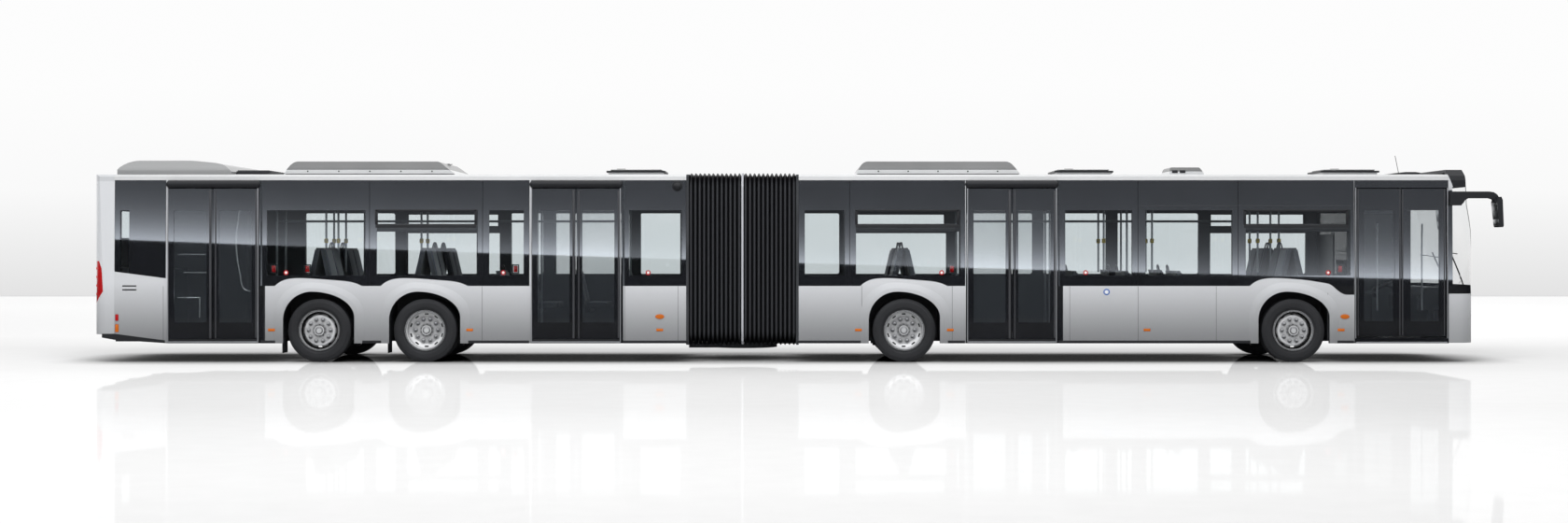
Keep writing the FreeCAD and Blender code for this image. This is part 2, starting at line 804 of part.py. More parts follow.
# Floors, wheel housings and the portal frames at the joint
def housing(axle_s, half_length, inner_y, side):
    """A wheel housing of the left side, open below and towards the wheel arch: (solid, space inside)."""
    x = at(axle_s)
    low_z = floor_low_z
    outer = block(x - half_length - housing_t, x + half_length + housing_t, inner_y - housing_t,
                  wall_in_y - seat_gap, low_z, housing_top_z)
    space = block(x - half_length, x + half_length, inner_y, wall_in_y + overrun, low_z - overrun,
                  housing_top_z - housing_t)
    return sided(outer, side), sided(space, side)


def portal(x_low, x_high):
    """The frame that a bellows end is clamped to, round the whole section of the body."""
    top = roof_section(0)
    half = [(side_y, bellows_low_z)] + [(side_y, belt_z)] + top
    other = [(-y, z) for y, z in reversed(half[:-1])]
    ring = prism_yz(half + other, x_low, x_high)
    hole = block(x_low - overrun, x_high + overrun, -side_y + portal_w + side_lean, side_y - portal_w - side_lean,
                 floor_top_z, roof_edge_z - portal_w)
    return ring.cut(hole)


def floor_frame(s_front, s_rear, axles, portal_xs, tongue):
    """A car's floor slab with its wheel housings, underframe rails, portal frame and joint tongue."""
    half = wall_in_y - seat_gap
    slab = block(at(s_rear), at(s_front), -half, half, floor_low_z, floor_top_z)
    rails = [block(at(s_rear), at(s_front), side * beam_straight_y - beam_w / 2,
                   side * beam_straight_y + beam_w / 2, beam_low_z + beam_h, floor_low_z) for side in (-1, 1)]
    solids, spaces = [], []
    for axle_s, half_length, inner_y in axles:
        for side in (-1, 1):
            outer, space = housing(axle_s, half_length, inner_y, side)
            solids.append(outer)
            spaces.append(space)
    frame = fused([slab] + solids).cut(spaces)
    rails = [rail.cut(spaces) for rail in rails]
    return fused([frame, portal(*portal_xs), tongue] + rails)


def ring(z_low, thickness):
    outer = tube_z(ring_out_r, pivot_x, 0, z_low, z_low + thickness)
    return outer.cut(tube_z(ring_in_r, pivot_x, 0, z_low - overrun, z_low + thickness + overrun))


def front_tongue():
    """The front car's half of the turntable: upper ring and the plate that carries it."""
    low_z = ring_top_z - ring_t
    plate = block(pivot_x + ring_in_r, at(bellows_front_s) + portal_t, -tongue_half_y, tongue_half_y, low_z,
                  ring_top_z)
    plate = plate.cut(tube_z(ring_in_r + bite, pivot_x, 0, low_z - overrun, ring_top_z + overrun))
    carrier = block(at(bellows_front_s), at(bellows_front_s) + portal_t, -tongue_half_y, tongue_half_y, low_z,
                    floor_low_z + floor_t / 2)
    return fused([ring(low_z, ring_t), plate, carrier])


def rear_tongue():
    """The rear car's half of the turntable: lower ring, its plate and a drop bracket."""
    top_z = ring_top_z - ring_t - running_gap
    low_z = top_z - ring_t
    plate = block(at(bellows_rear_s) - portal_t, pivot_x - ring_in_r, -tongue_half_y, tongue_half_y, low_z, top_z)
    plate = plate.cut(tube_z(ring_in_r + bite, pivot_x, 0, low_z - overrun, top_z + overrun))
    bracket = block(at(bellows_rear_s) - portal_t, at(bellows_rear_s), -tongue_half_y, tongue_half_y, low_z,
                    floor_low_z + floor_t / 2)
    return fused([ring(low_z, ring_t), plate, bracket])


def engine_room(inset):
    """The engine's tower on the left and the low shelf across the tail, a box that stands on the floor."""
    low_z = floor_top_z + seat_gap
    half = wall_in_y - side_lean - seat_gap
    tower = block(at(tail_s) - 2 * inset, at(tower_s + inset), tower_y + inset, half - inset, low_z,
                  tower_top_z - inset)
    shelf = block(at(tail_s) - 2 * inset, at(shelf_s + inset), -half + inset, half - inset, low_z,
                  shelf_z - inset)
    return tower.fuse(shelf)


def front_plate():
    """The floor's thin end inside the front mask, as far as the dashboard's foot and the door's post."""
    room = front_form(mask_wall + seat_gap, corner_s + 2 * overrun)
    half = wall_in_y - seat_gap
    return room.common(block(at(corner_s + overrun), at(floor_front_s), -half, half, mask_low_z, floor_top_z))


front_floor = floor_frame(corner_s, bellows_front_s,
                          ((front_axle_s, steer_housing_half, single_housing_y),
                           (second_axle_s, twin_housing_half, twin_housing_y)),
                          (at(bellows_front_s), at(bellows_front_s) + portal_t),
                          fused([front_tongue(), front_plate()]))
rear_floor = floor_frame(bellows_rear_s, tail_s,
                         ((third_axle_s, twin_housing_half, twin_housing_y),
                          (fourth_axle_s, steer_housing_half, single_housing_y)),
                         (at(bellows_rear_s) - portal_t, at(bellows_rear_s)), rear_tongue())
export("front_floor", front_floor)
export("rear_floor", rear_floor, engine_room(0).cut(engine_room(bulkhead_t)))


# Bellows and the hoop in the middle of the joint
def bellows_outline(x, inset):
    """A closed outline round the body's section with cut corners."""
    y = side_y - inset
    low_z, top_z = bellows_low_z + inset, bellows_top_z - inset
    cut = bellows_corner - inset / 2
    step = cut * (1 - math.sqrt(0.5))
    half = [(y - cut, low_z), (y - step, low_z + step), (y, low_z + cut), (y, top_z - cut),
            (y - step, top_z - step), (y - cut, top_z)]
    points = half + [(-a, z) for a, z in reversed(half)]
    return closed([Vector(x, a, z) for a, z in points])


def bellows_half_solid(x_low, x_high):
    """Half of the bellows: a folded skin with its crests outside."""
    pitch = (x_high - x_low) / fold_count
    outer, inner = [], []
    for i in range(2 * fold_count + 1):
        x = x_low + pitch * i / 2
        inset = 0 if i % 2 else fold_depth
        outer.append(bellows_outline(x, inset))
        inner.append(bellows_outline(x, inset + fold_skin))
    skin = Part.makeLoft(outer, True, True).cut(Part.makeLoft(inner, True, True))
    open_top_z = bellows_low_z + fold_depth + fold_skin + overrun
    return skin.cut(block(x_low - overrun, x_high + overrun, -bellows_open_y, bellows_open_y, 0, open_top_z))


def hoop():
    """The middle frame of the bellows, standing on the round platform over the turntable."""
    low, high = pivot_x - hoop_t / 2, pivot_x + hoop_t / 2
    outer = prism(bellows_outline(low, 0), Vector(hoop_t, 0, 0))
    passage = block(low - overrun, high + overrun, -side_y + portal_w + side_lean, side_y - portal_w - side_lean,
                    floor_top_z, roof_edge_z - portal_w)
    under = block(low - overrun, high + overrun, -ring_out_r - overrun, ring_out_r + overrun, 0,
                  ring_top_z + running_gap)
    platform = tube_z(platform_r, pivot_x, 0, floor_top_z - platform_t, floor_top_z)
    boss = tube_z(ring_out_r, pivot_x, 0, ring_top_z + running_gap, floor_top_z - platform_t / 2)
    return fused([outer.cut([passage, under]), platform, boss])


export("bellows", bellows_half_solid(pivot_x + hoop_t / 2, at(bellows_front_s)),
       bellows_half_solid(at(bellows_rear_s), pivot_x - hoop_t / 2))
export("centre_hoop", hoop())


# Front end: mask, windscreen and headlamps
def shrunk(box):
    """A block drawn in by the seat gap on its sides, top and bottom, but as long as before."""
    b = box.BoundBox
    return block(b.XMin, b.XMax, b.YMin + seat_gap, b.YMax - seat_gap, b.ZMin + seat_gap, b.ZMax - seat_gap)


def screen_space(gap):
    """Everything ahead of the front pillars between the lower edge of the windscreen and the front hood."""
    return block(at(corner_s - pillar_w / 3) + gap, front_x + overrun, -side_y - overrun, side_y + overrun,
                 screen_low_z + gap, screen_top_z - gap)


mask = front_form(0, corner_s).cut(front_form(mask_wall, corner_s + overrun))
mask = mask.cut([screen_space(0)])
lamp_holes = [block(at(mask_bow + mask_corner + overrun), front_x + overrun, side * lamp_y - lamp_w / 2,
                    side * lamp_y + lamp_w / 2, lamp_z - lamp_h / 2, lamp_z + lamp_h / 2) for side in (-1, 1)]
export("front_mask", mask.cut(lamp_holes))
windscreen = front_form(0, corner_s + overrun).cut(front_form(glass_t, corner_s + 2 * overrun))
export("windscreen", windscreen.common(screen_space(seat_gap)))
lamp_shell = front_form(lamp_inset, corner_s).cut(front_form(mask_wall, corner_s + overrun))
export("headlamps", *[lamp_shell.common(shrunk(hole)) for hole in lamp_holes])


# Rear end
def rear_form(inset, s_front):
    """The closed form of the rear end, drawn in by an inset on every face but its open front."""
    y = side_y - inset
    back_x = at(body_length - inset)
    corner = rear_corner - inset / 2
    slant = math.sqrt(0.5)
    points = [Vector(at(s_front), -y, 0), Vector(at(s_front), y, 0), Vector(back_x + corner, y, 0)]
    left = Part.Arc(points[2], Vector(back_x + corner - corner * slant, y - corner + corner * slant, 0),
                    Vector(back_x, y - corner, 0)).toShape()
    right = Part.Arc(Vector(back_x, -y + corner, 0),
                     Vector(back_x + corner - corner * slant, -y + corner - corner * slant, 0),
                     Vector(back_x + corner, -y, 0)).toShape()
    lines = [Part.makeLine(points[0], points[1]), Part.makeLine(points[1], points[2]),
             Part.makeLine(Vector(back_x, y - corner, 0), Vector(back_x, -y + corner, 0)),
             Part.makeLine(Vector(back_x + corner, -y, 0), points[0])]
    plan = prism(Part.Wire(Part.__sortEdges__([left, right] + lines)), Vector(0, 0, roof_crown_z + overrun))
    half = roof_section(inset)
    half = [(side_y - inset, tail_low_z + inset), (side_y - inset, belt_z)] + half
    section = prism_yz(half + [(-a, z) for a, z in reversed(half[:-1])], back_x - overrun, at(s_front))
    return plan.common(section)


rear_end = rear_form(0, tail_s + seat_gap).cut(rear_form(wall_t, tail_s - overrun))
lid_hole = block(at(body_length) - overrun, at(body_length - wall_t) + overrun, -lid_half_y, lid_half_y, lid_low_z,
                 lid_top_z)
rear_window = block(at(body_length) - overrun, at(body_length - wall_t) + overrun, -rear_window_half_y,
                    rear_window_half_y, rear_window_low_z, rear_window_top_z)
rear_window = rounded(rear_window, window_radius, Vector(1, 0, 0))


def lamp_seat(side, gap):
    """The room of a tail lamp, which wraps round the corner and tapers to the top and to the foot."""
    rear_x, w = at(body_length), tail_lamp_w - gap
    low_z, height = tail_lamp_low_z + gap, tail_lamp_top_z - tail_lamp_low_z - 2 * gap
    outline = [(rear_x + along * w, low_z + up * height) for along, up in tail_lamp_shares]
    outline += [(rear_x - overrun, low_z + height), (rear_x - overrun, low_z)]
    y_in, y_out = sorted((side * (side_y - tail_lamp_w + gap), side * (side_y + overrun)))
    return prism_xz(outline, y_in, y_out)


lamp_layer = rear_form(0, tail_s).cut(rear_form(tail_lamp_t, tail_s - overrun))
recess_layer = rear_form(-bite, tail_s).cut(rear_form(tail_lamp_t + seat_gap, tail_s - overrun))
lamp_recesses = [recess_layer.common(lamp_seat(side, 0)) for side in (-1, 1)]
export("rear_end", rear_end.cut([lid_hole, rear_window] + lamp_recesses))
export("tail_lamps", *[lamp_layer.common(lamp_seat(side, seat_gap)) for side in (-1, 1)])
lid_plate = block(at(body_length), at(body_length - lid_t), -lid_half_y + lid_gap, lid_half_y - lid_gap,
                  lid_low_z + lid_gap, lid_top_z - lid_gap)
lid_slots = []
for slot_row in range(lid_slot_count):
    for slot_side in (-1, 1):
        slot_low_z = lid_slot_low_z + slot_row * lid_slot_pitch
        slot_y = slot_side * lid_half_y / 2 - lid_slot_w / 2
        lid_slots.append(block(at(body_length) - overrun, at(body_length - lid_t) + overrun, slot_y,
                               slot_y + lid_slot_w, slot_low_z, slot_low_z + lid_slot_h))
lid_plate = lid_plate.cut(lid_slots)
lid_barrel_r = lid_gap - seat_gap
lid_barrel = tube_y(lid_barrel_r, at(body_length) + lid_barrel_r, lid_top_z - lid_gap, -lid_half_y + lid_gap,
                    lid_half_y - lid_gap)
export("engine_lid", fused([lid_plate, lid_barrel]))
rear_glass = block(at(body_length) + lid_gap, at(body_length) + lid_gap + glass_t, -rear_window_half_y + seat_gap,
                   rear_window_half_y - seat_gap, rear_window_low_z + seat_gap, rear_window_top_z - seat_gap)
rear_glass = rounded(rear_glass, window_radius, Vector(1, 0, 0))


# Doors
def leaf(s_front, s_rear, outer_y, low_z, hanger_top_z=None):
    """One door leaf of the left side: a frame with a tall window cut in it and its pane set in."""
    y_low, y_high = outer_y - leaf_t, outer_y
    frame = block(at(s_rear), at(s_front), y_low, y_high, low_z, leaf_top_z)
    frame = rounded(frame, window_radius / 2, Vector(0, 1, 0))
    if hanger_top_z is not None:
        x = (at(s_rear) + at(s_front)) / 2
        hanger = block(x - hanger_w / 2, x + hanger_w / 2, y_low - hanger_t, y_low + seat_overlap,
                       leaf_top_z - hanger_h, hanger_top_z)
        frame = fused([frame, hanger])
    hole = (at(s_rear) + leaf_frame_w, at(s_front) - leaf_frame_w, leaf_low_z + leaf_low_panel_h,
            leaf_top_z - leaf_high_panel_h)
    frame = frame.cut(block(hole[0], hole[1], y_low - overrun, y_high + overrun, hole[2], hole[3]))
    pane = block(hole[0] + seat_gap, hole[1] - seat_gap, y_high - 2 * glass_t, y_high - glass_t,
                 hole[2] + seat_gap, hole[3] - seat_gap)
    return frame, pane


def door_hood(s_front, s_rear):
    """The round cover over a door that slides along the outside, on the right."""
    x_low, x_high = at(s_rear), at(s_front)
    y = skin_y(hood_z - hood_r)
    tube = Part.makeCylinder(hood_r, x_high - x_low - 2 * hood_r, Vector(x_low + hood_r, y, hood_z),
                             Vector(1, 0, 0))
    ends = [Part.makeSphere(hood_r, Vector(x, y, hood_z)) for x in (x_low + hood_r, x_high - hood_r)]
    whole = fused([tube] + ends)
    keep = block(x_low - overrun, x_high + overrun, y + seat_gap, y + hood_r + overrun, 0, roof_crown_z)
    return mirrored(whole.common(keep))


def plug_door(s_front, width):
    """A closed pair of leaves standing just proud of the wall, under their hood."""
    opening_front = s_front + jamb_w + jamb_gap
    opening_rear = s_front + width - jamb_w - jamb_gap
    middle = (opening_front + opening_rear) / 2
    outer_y = side_y + plug_proud
    pair = [leaf(opening_front, middle - leaf_pair_gap / 2, outer_y, leaf_low_z, lintel_z - seat_gap),
            leaf(middle + leaf_pair_gap / 2, opening_rear, outer_y, leaf_low_z, lintel_z - seat_gap)]
    frames = [mirrored(frame) for frame, pane in pair]
    return frames + [door_hood(s_front, s_front + width)], [mirrored(pane) for frame, pane in pair]


door_2, door_2_panes = plug_door(doorway_2_s, doorway_w)
door_3, door_3_panes = plug_door(doorway_3_s, doorway_w)
door_4, door_4_panes = plug_door(doorway_4_s, doorway_4_w)
export("door_2", *door_2)
export("rear_doors", *(door_3 + door_4))
export("front_glass", *(side_panes(front_bays, -1) + side_panes(front_bays, 1) + door_2_panes))
export("rear_glass", rear_glass,
       *(side_panes(rear_bays, -1) + side_panes(rear_left_bays, 1) + door_3_panes + door_4_panes))


def door_post(station, inward):
    """A turning post with an arm below its leaf and one above it, towards the doorway's middle."""
    x = at(station)
    end_x = x - inward * arm_length
    low, high = sorted((x, end_x))
    shapes = [tube_z(post_r, x, link_y, floor_top_z + running_gap, bearing_z - running_gap)]
    for z, height in arms:
        arm = block(low, high, link_y - arm_w / 2, link_y + arm_w / 2, z, z + height)
        eye = tube_z(arm_w / 2, end_x, link_y, z, z + height)
        shapes.append(arm.fuse(eye).cut(tube_z(pin_r + pin_gap, end_x, link_y, 0, roof_crown_z)))
    return mirrored(fused(shapes))


def swing_leaf(station, inward):
    """A front door leaf with the lugs and pins that hold it at its middle on the two arms."""
    x = at(station)
    edge_x = x - inward * post_out
    middle_x = at(doorway_1_s + doorway_1_w / 2) + inward * leaf_pair_gap / 2
    low, high = sorted((edge_x, middle_x))
    frame, pane = leaf(front_x - high, front_x - low, side_y - swing_inset, swing_leaf_low_z)
    pin_x = x - inward * arm_length
    (foot_z, foot_h), (head_z, head_h) = arms
    lugs = [(foot_z + foot_h + running_gap, swing_leaf_low_z + lug_h), (leaf_top_z - lug_h, head_z - running_gap)]
    shapes = [frame]
    for low_z, high_z in lugs:
        shapes.append(block(pin_x - lug_w / 2, pin_x + lug_w / 2, link_y - arm_w / 2,
                            side_y - swing_inset - leaf_t + seat_overlap, low_z, high_z))
    shapes.append(tube_z(pin_r, pin_x, link_y, foot_z, foot_z + foot_h + lug_h / 2))
    shapes.append(tube_z(pin_r, pin_x, link_y, head_z - lug_h / 2, head_z + head_h))
    return mirrored(fused(shapes)), mirrored(pane)


for door_name, post_station, toward in (("front", post_stations[0], 1), ("rear", post_stations[1], -1)):
    export("door_1_%s_post" % door_name, door_post(post_station, toward))
    export("door_1_%s_leaf" % door_name, *swing_leaf(post_station, toward))


# Wheels
def revolved(points, axis_x):
    """A ring from a half section given as (radius, y), about the wheel's axle line."""
    wire = closed([Vector(axis_x + radius, y, tyre_r) for radius, y in points])
    return Part.Face(wire).revolve(Vector(axis_x, 0, tyre_r), Vector(0, 1, 0), 360)


def flat_sided(axle_s, profile):
    """A ring with flat-sided rounds that stands on one of them, from a closed section as (radius, y)."""
    sharpness = 1 / math.cos(math.pi / tyre_sides)

    def corner(i, radius, y):
        turn = 2 * math.pi * (i + 0.5) / tyre_sides
        return Vector(at(axle_s) + radius * sharpness * math.sin(turn), y,
                      tyre_r - radius * sharpness * math.cos(turn))

    faces = []
    for i in range(tyre_sides):
        for near, far in zip(profile, profile[1:] + profile[:1]):
            faces.append(Part.Face(closed([corner(i, *near), corner(i + 1, *near), corner(i + 1, *far),
                                           corner(i, *far)])))
    ring_solid = Part.Solid(Part.Shell(faces))
    if ring_solid.Volume < 0:
        ring_solid.reverse()
    return ring_solid


def tyre(axle_s, outer_y):
    """A tyre of the left side, its outer sidewall's widest point at outer_y."""
    inner_y = outer_y - tyre_w
    bead_in = tyre_bulge * 2
    wall_r = (tyre_r + tyre_bead_r) / 2
    bead_r = tyre_bead_r + seat_gap
    return flat_sided(axle_s, [(bead_r, inner_y + bead_in), (wall_r, inner_y), (tyre_r, inner_y + tyre_shoulder),
                               (tyre_r, outer_y - tyre_shoulder), (wall_r, outer_y),
                               (bead_r + tyre_bead_w, outer_y - bead_in), (bead_r, outer_y - bead_in)])


def rim_barrel(axle_s, outer_y):
    """The rim's well with the flange that holds the tyre's outer bead."""
    out_y = outer_y - tyre_bulge * 2
    in_y = outer_y - tyre_w + tyre_bulge * 2
    return revolved([(rim_well_r, in_y), (tyre_bead_r, in_y), (tyre_bead_r, out_y), (rim_flange_r, out_y),
                     (rim_flange_r, out_y + rim_t), (rim_well_r, out_y + rim_t)], at(axle_s))


def rim(axle_s, outer_y, disc_depth, dish):
    """A wheel disc of the left side, dished between its flat middle and edge, with hand slots and nuts."""
    x = at(axle_s)
    face_y = outer_y - disc_depth
    disc = revolved([(hub_cap_r, face_y - disc_t), (disc_flat_r, face_y - disc_t),
                     (rim_well_r + bite, face_y - dish - disc_t), (rim_well_r + bite, face_y - dish),
                     (disc_flat_r, face_y), (hub_cap_r, face_y)], x)
    step = Vector(0, 1, 0)
    centre = Vector(x, 0, tyre_r)
    slot = block(x - hand_slot_w / 2, x + hand_slot_w / 2, face_y - abs(dish) - disc_t - overrun,
                 face_y + abs(dish) + overrun, tyre_r + hand_slot_circle_r - hand_slot_h / 2,
                 tyre_r + hand_slot_circle_r + hand_slot_h / 2)
    slot = rounded(slot, hand_slot_h / 2 - bite, step)
    nut = block(x - nut_across / 2, x + nut_across / 2, face_y - bite, face_y + nut_h,
                tyre_r + nut_circle_r - nut_across / 2, tyre_r + nut_circle_r + nut_across / 2)
    turns = [360 * i / nut_count for i in range(nut_count)]
    slots = [slot.rotated(centre, step, turn) for turn in turns]
    nuts = [nut.rotated(centre, step, turn + 180 / nut_count) for turn in turns]
    return disc.cut(slots), nuts, face_y


def wheel(name, axle_s, side, twin):
    """The tyre and rim nodes of one wheel, or of a pair of twins."""
    depth, dish = (twin_disc_depth, -twin_dish) if twin else (front_disc_depth, front_dish)
    disc, nuts, face_y = rim(axle_s, tyre_out_y, depth, dish)
    x = at(axle_s)
    hub_in_y = (riser_out_y if twin else kingpin_y + eye_r + fork_gap + knuckle_plate_t) + wheel_gap
    cap = tube_y(hub_cap_r, x, tyre_r, face_y - bite, face_y + hub_cap_h)
    hub = tube_y(hub_r, x, tyre_r, hub_in_y, face_y)
    brake = tube_y(brake_r, x, tyre_r, hub_in_y, hub_in_y + brake_w)
    shapes = [rim_barrel(axle_s, tyre_out_y), disc, cap, hub, brake] + nuts
    tyres = [tyre(axle_s, tyre_out_y)]
    if twin:
        inner_out_y = tyre_out_y - twin_spacing
        inner_disc = tube_y(rim_well_r + bite, x, tyre_r, face_y - 2 * disc_t, face_y - disc_t)
        link_low_y, link_high_y = inner_out_y - tyre_bulge - bite, face_y + twin_dish
        link = revolved([(rim_well_r, link_low_y), (rim_well_r + rim_t / 2, link_low_y),
                         (rim_well_r + rim_t / 2, link_high_y), (rim_well_r, link_high_y)], x)
        shapes += [rim_barrel(axle_s, inner_out_y), inner_disc, link]
        tyres.append(tyre(axle_s, inner_out_y))
    bore = tube_y(spindle_r + running_gap, x, tyre_r, hub_in_y - overrun, face_y - disc_t)
    export(name + "_rim", sided(fused(shapes).cut(bore), side))
    export(name + ("_tyres" if twin else "_tyre"), *[sided(t, side) for t in tyres])


for axle_name, axle_station, is_twin in (("front", front_axle_s, False), ("second", second_axle_s, True),
                                         ("third", third_axle_s, True), ("fourth", fourth_axle_s, False)):
    for side_name, wheel_side in (("left", 1), ("right", -1)):
        wheel("%s_%s" % (axle_name, side_name), axle_station, wheel_side, is_twin)


# Axles and knuckles
def dropped_beam(x, end_y, rise_w, end_low_z):
    """An axle beam that dips under the low floor and rises to the wheels."""
    end_top_z = tyre_r + eye_half_h
    riser_y = end_y - riser_w
    half = [(riser_y - rise_w, beam_low_z), (riser_y, end_low_z), (end_y, end_low_z), (end_y, end_top_z),
            (riser_y, end_top_z), (riser_y - rise_w - riser_w / 2, beam_low_z + beam_h)]
    points = half + [(-y, z) for y, z in reversed(half)]
    return prism_yz(points, x - beam_w / 2, x + beam_w / 2)


def air_springs(x, offset, y):
    """Air springs on lugs ahead of and behind the beam, up to the underframe."""
    shapes = []
    for along in (-1, 1):
        for side in (-1, 1):
            centre_x = x + along * offset
            shapes.append(tube_z(air_spring_r, centre_x, side * y, beam_low_z + beam_h / 2,
                                 floor_low_z - seat_gap))
        low, high = sorted((x, x + along * (offset + air_spring_r)))
        for side in (-1, 1):
            shapes.append(block(low, high, side * y - beam_h, side * y + beam_h, beam_low_z,
                                beam_low_z + beam_h / 2))
    return shapes


def steered_axle(axle_s):
    x = at(axle_s)
    beam = dropped_beam(x, kingpin_y, steered_rise_w, tyre_r - eye_half_h)
    eyes = [tube_z(eye_r, x, side * kingpin_y, tyre_r - eye_half_h, tyre_r + eye_half_h) for side in (-1, 1)]
    bores = [tube_z(kingpin_r + running_gap, x, side * kingpin_y, 0, 2 * tyre_r) for side in (-1, 1)]
    return fused([beam] + eyes + air_springs(x, 3 * air_spring_r, air_spring_y)).cut(bores)


def knuckle(axle_s, side):
    """A fork round the axle's eye, its kingpin, the brake and the wheel's spindle."""
    x = at(axle_s)
    top_z = tyre_r + eye_half_h + fork_gap
    low_z = tyre_r - eye_half_h - fork_gap
    plate_y = kingpin_y + eye_r + fork_gap
    shapes = [tube_z(eye_r, x, kingpin_y, top_z, top_z + fork_t),
              tube_z(eye_r, x, kingpin_y, low_z - fork_t, low_z),
              tube_z(kingpin_r, x, kingpin_y, low_z - bite, top_z + bite),
              block(x - eye_r, x + eye_r, kingpin_y, plate_y + knuckle_plate_t, top_z, top_z + fork_t),
              block(x - eye_r, x + eye_r, kingpin_y, plate_y + knuckle_plate_t, low_z - fork_t, low_z),
              block(x - eye_r, x + eye_r, plate_y, plate_y + knuckle_plate_t, low_z - fork_t, top_z + fork_t),
              tube_y(spindle_r, x, tyre_r, plate_y + knuckle_plate_t - bite,
                     tyre_out_y - front_disc_depth - disc_t - wheel_gap)]
    return sided(fused(shapes), side)


def fixed_axle(axle_s, is_driven):
    x = at(axle_s)
    beam = dropped_beam(x, riser_out_y, fixed_rise_w, beam_low_z)
    spindle_end_y = tyre_out_y - twin_disc_depth - disc_t - wheel_gap
    spindle = tube_y(spindle_r, x, tyre_r, riser_out_y - seat_overlap, spindle_end_y)
    shapes = [beam, spindle, mirrored(spindle)] + air_springs(x, 3 * air_spring_r, air_spring_y)
    if is_driven:
        low_y = -beam_straight_y / 2
        gear_case = block(x - beam_w, x - beam_w + drive_l, low_y, low_y + drive_w, beam_low_z - beam_h / 2,
                          floor_low_z - seat_gap)
        shapes.append(rounded(gear_case, window_radius, Vector(0, 1, 0)))
    return fused(shapes)


export("front_axle", steered_axle(front_axle_s))
export("fourth_axle", steered_axle(fourth_axle_s))
export("second_axle", fixed_axle(second_axle_s, False))
export("third_axle", fixed_axle(third_axle_s, True))
for axle_name, axle_station in (("front", front_axle_s), ("fourth", fourth_axle_s)):
    for side_name, knuckle_side in (("left", 1), ("right", -1)):
        export("%s_%s_knuckle" % (axle_name, side_name), knuckle(axle_station, knuckle_side))


# Engine, seats, rails, the driver's place and mirrors
engine_x = at(tail_s)
export("engine", block(engine_x, engine_x + engine_l, -engine_w / 2, engine_w / 2, floor_top_z + seat_gap,
                       floor_top_z + engine_h))


def seat(x, y_low, y_high, low_z, facing, height):
    """A seat shell from its underside up: x is the foot of its back, facing is +1 forward or -1 rearward."""
    top_z = low_z + height + seat_back_h
    cushion_z = low_z + height
    points = [(0, cushion_z - seat_shell_t), (seat_depth, cushion_z - seat_shell_t / 2),
              (seat_depth, cushion_z + seat_shell_t / 2), (seat_shell_t, cushion_z),
              (seat_shell_t - seat_lean, top_z), (-seat_lean, top_z)]
    return prism_xz([(x + facing * along, z) for along, z in points], y_low, y_high)


def seat_pair(station, facing, on_housing):
    """Two seats of the left side on one frame that is held by the wall, or stands on a wheel housing."""
    x = at(station)
    wall_y = wall_in_y - seat_gap
    low_z = housing_top_z + seat_gap if on_housing else floor_top_z
    height = seat_shell_t if on_housing else seat_cushion_h
    outer = wall_y - side_lean
    seats = [seat(x, outer - (i + 1) * seat_w, outer - i * seat_w - seat_overlap, low_z, facing, height)
             for i in range(2)]
    low_x, high_x = sorted((x + facing * seat_shell_t, x + facing * 2 * seat_shell_t))
    frame_z = low_z + height - 2 * seat_shell_t
    if on_housing:
        frame_z = low_z
        frame = block(low_x, high_x, outer - 2 * seat_w, outer, low_z, low_z + height)
    else:
        frame = block(low_x, high_x, outer - 2 * seat_w + seat_shell_t, wall_y, frame_z, low_z + height)
    return fused(seats + [frame])


def seat_set(rows):
    """Pairs of seats: each row is (station, facing, on a housing, sides)."""
    pairs = []
    for station, facing, on_housing, sides in rows:
        pair = seat_pair(station, facing, on_housing)
        pairs += [sided(pair, side) for side in sides]
    return pairs


def back_to_back(axle_s):
    gap = seat_lean + seat_gap
    return [(axle_s - gap, 1, True, (-1, 1)), (axle_s + gap, -1, True, (-1, 1))]


front_rows = back_to_back(second_axle_s) + back_to_back(front_axle_s)
front_rows += [(second_bay_s + i * seat_pitch + seat_pitch, 1, False, (-1, 1)) for i in range(3)]
rear_rows = back_to_back(third_axle_s) + back_to_back(fourth_axle_s)
rear_rows += [(doorway_3_s + i * seat_pitch, 1, False, (1,)) for i in range(3)]
rear_rows += [(short_bay_s + seat_pitch / 2, 1, False, (-1,))]
export("front_seats", *seat_set(front_rows))
export("rear_seats", *seat_set(rear_rows))


def ceiling_z(y):
    """The height of the ceiling a distance off the middle."""
    shoulder_y, edge_z = roof_section(roof_t)[-2]
    return roof_crown_z - roof_t - (roof_crown_z - roof_t - edge_z) * y / shoulder_y


def rails(stations):
    """Grab rails on both sides of the aisle: upright poles and a bar between the first and the last."""
    shapes = []
    for side in (-1, 1):
        for station in stations:
            shapes.append(tube_z(rail_r, at(station), side * rail_y, floor_top_z + seat_gap,
                                 ceiling_z(rail_y) - 2 * seat_gap))
        bar = Part.makeCylinder(rail_bar_r, stations[-1] - stations[0],
                                Vector(at(stations[-1]), side * rail_y, rail_z), Vector(1, 0, 0))
        shapes.append(bar)
    half = len(shapes) // 2
    return fused(shapes[:half]), fused(shapes[half:])


export("front_rails", *rails([sign_bay_s + doorway_1_w, third_bay_s, doorway_2_s, axle_bay_s]))
export("rear_rails", *rails([doorway_3_s, short_bay_s, doorway_4_s - seat_gap]))


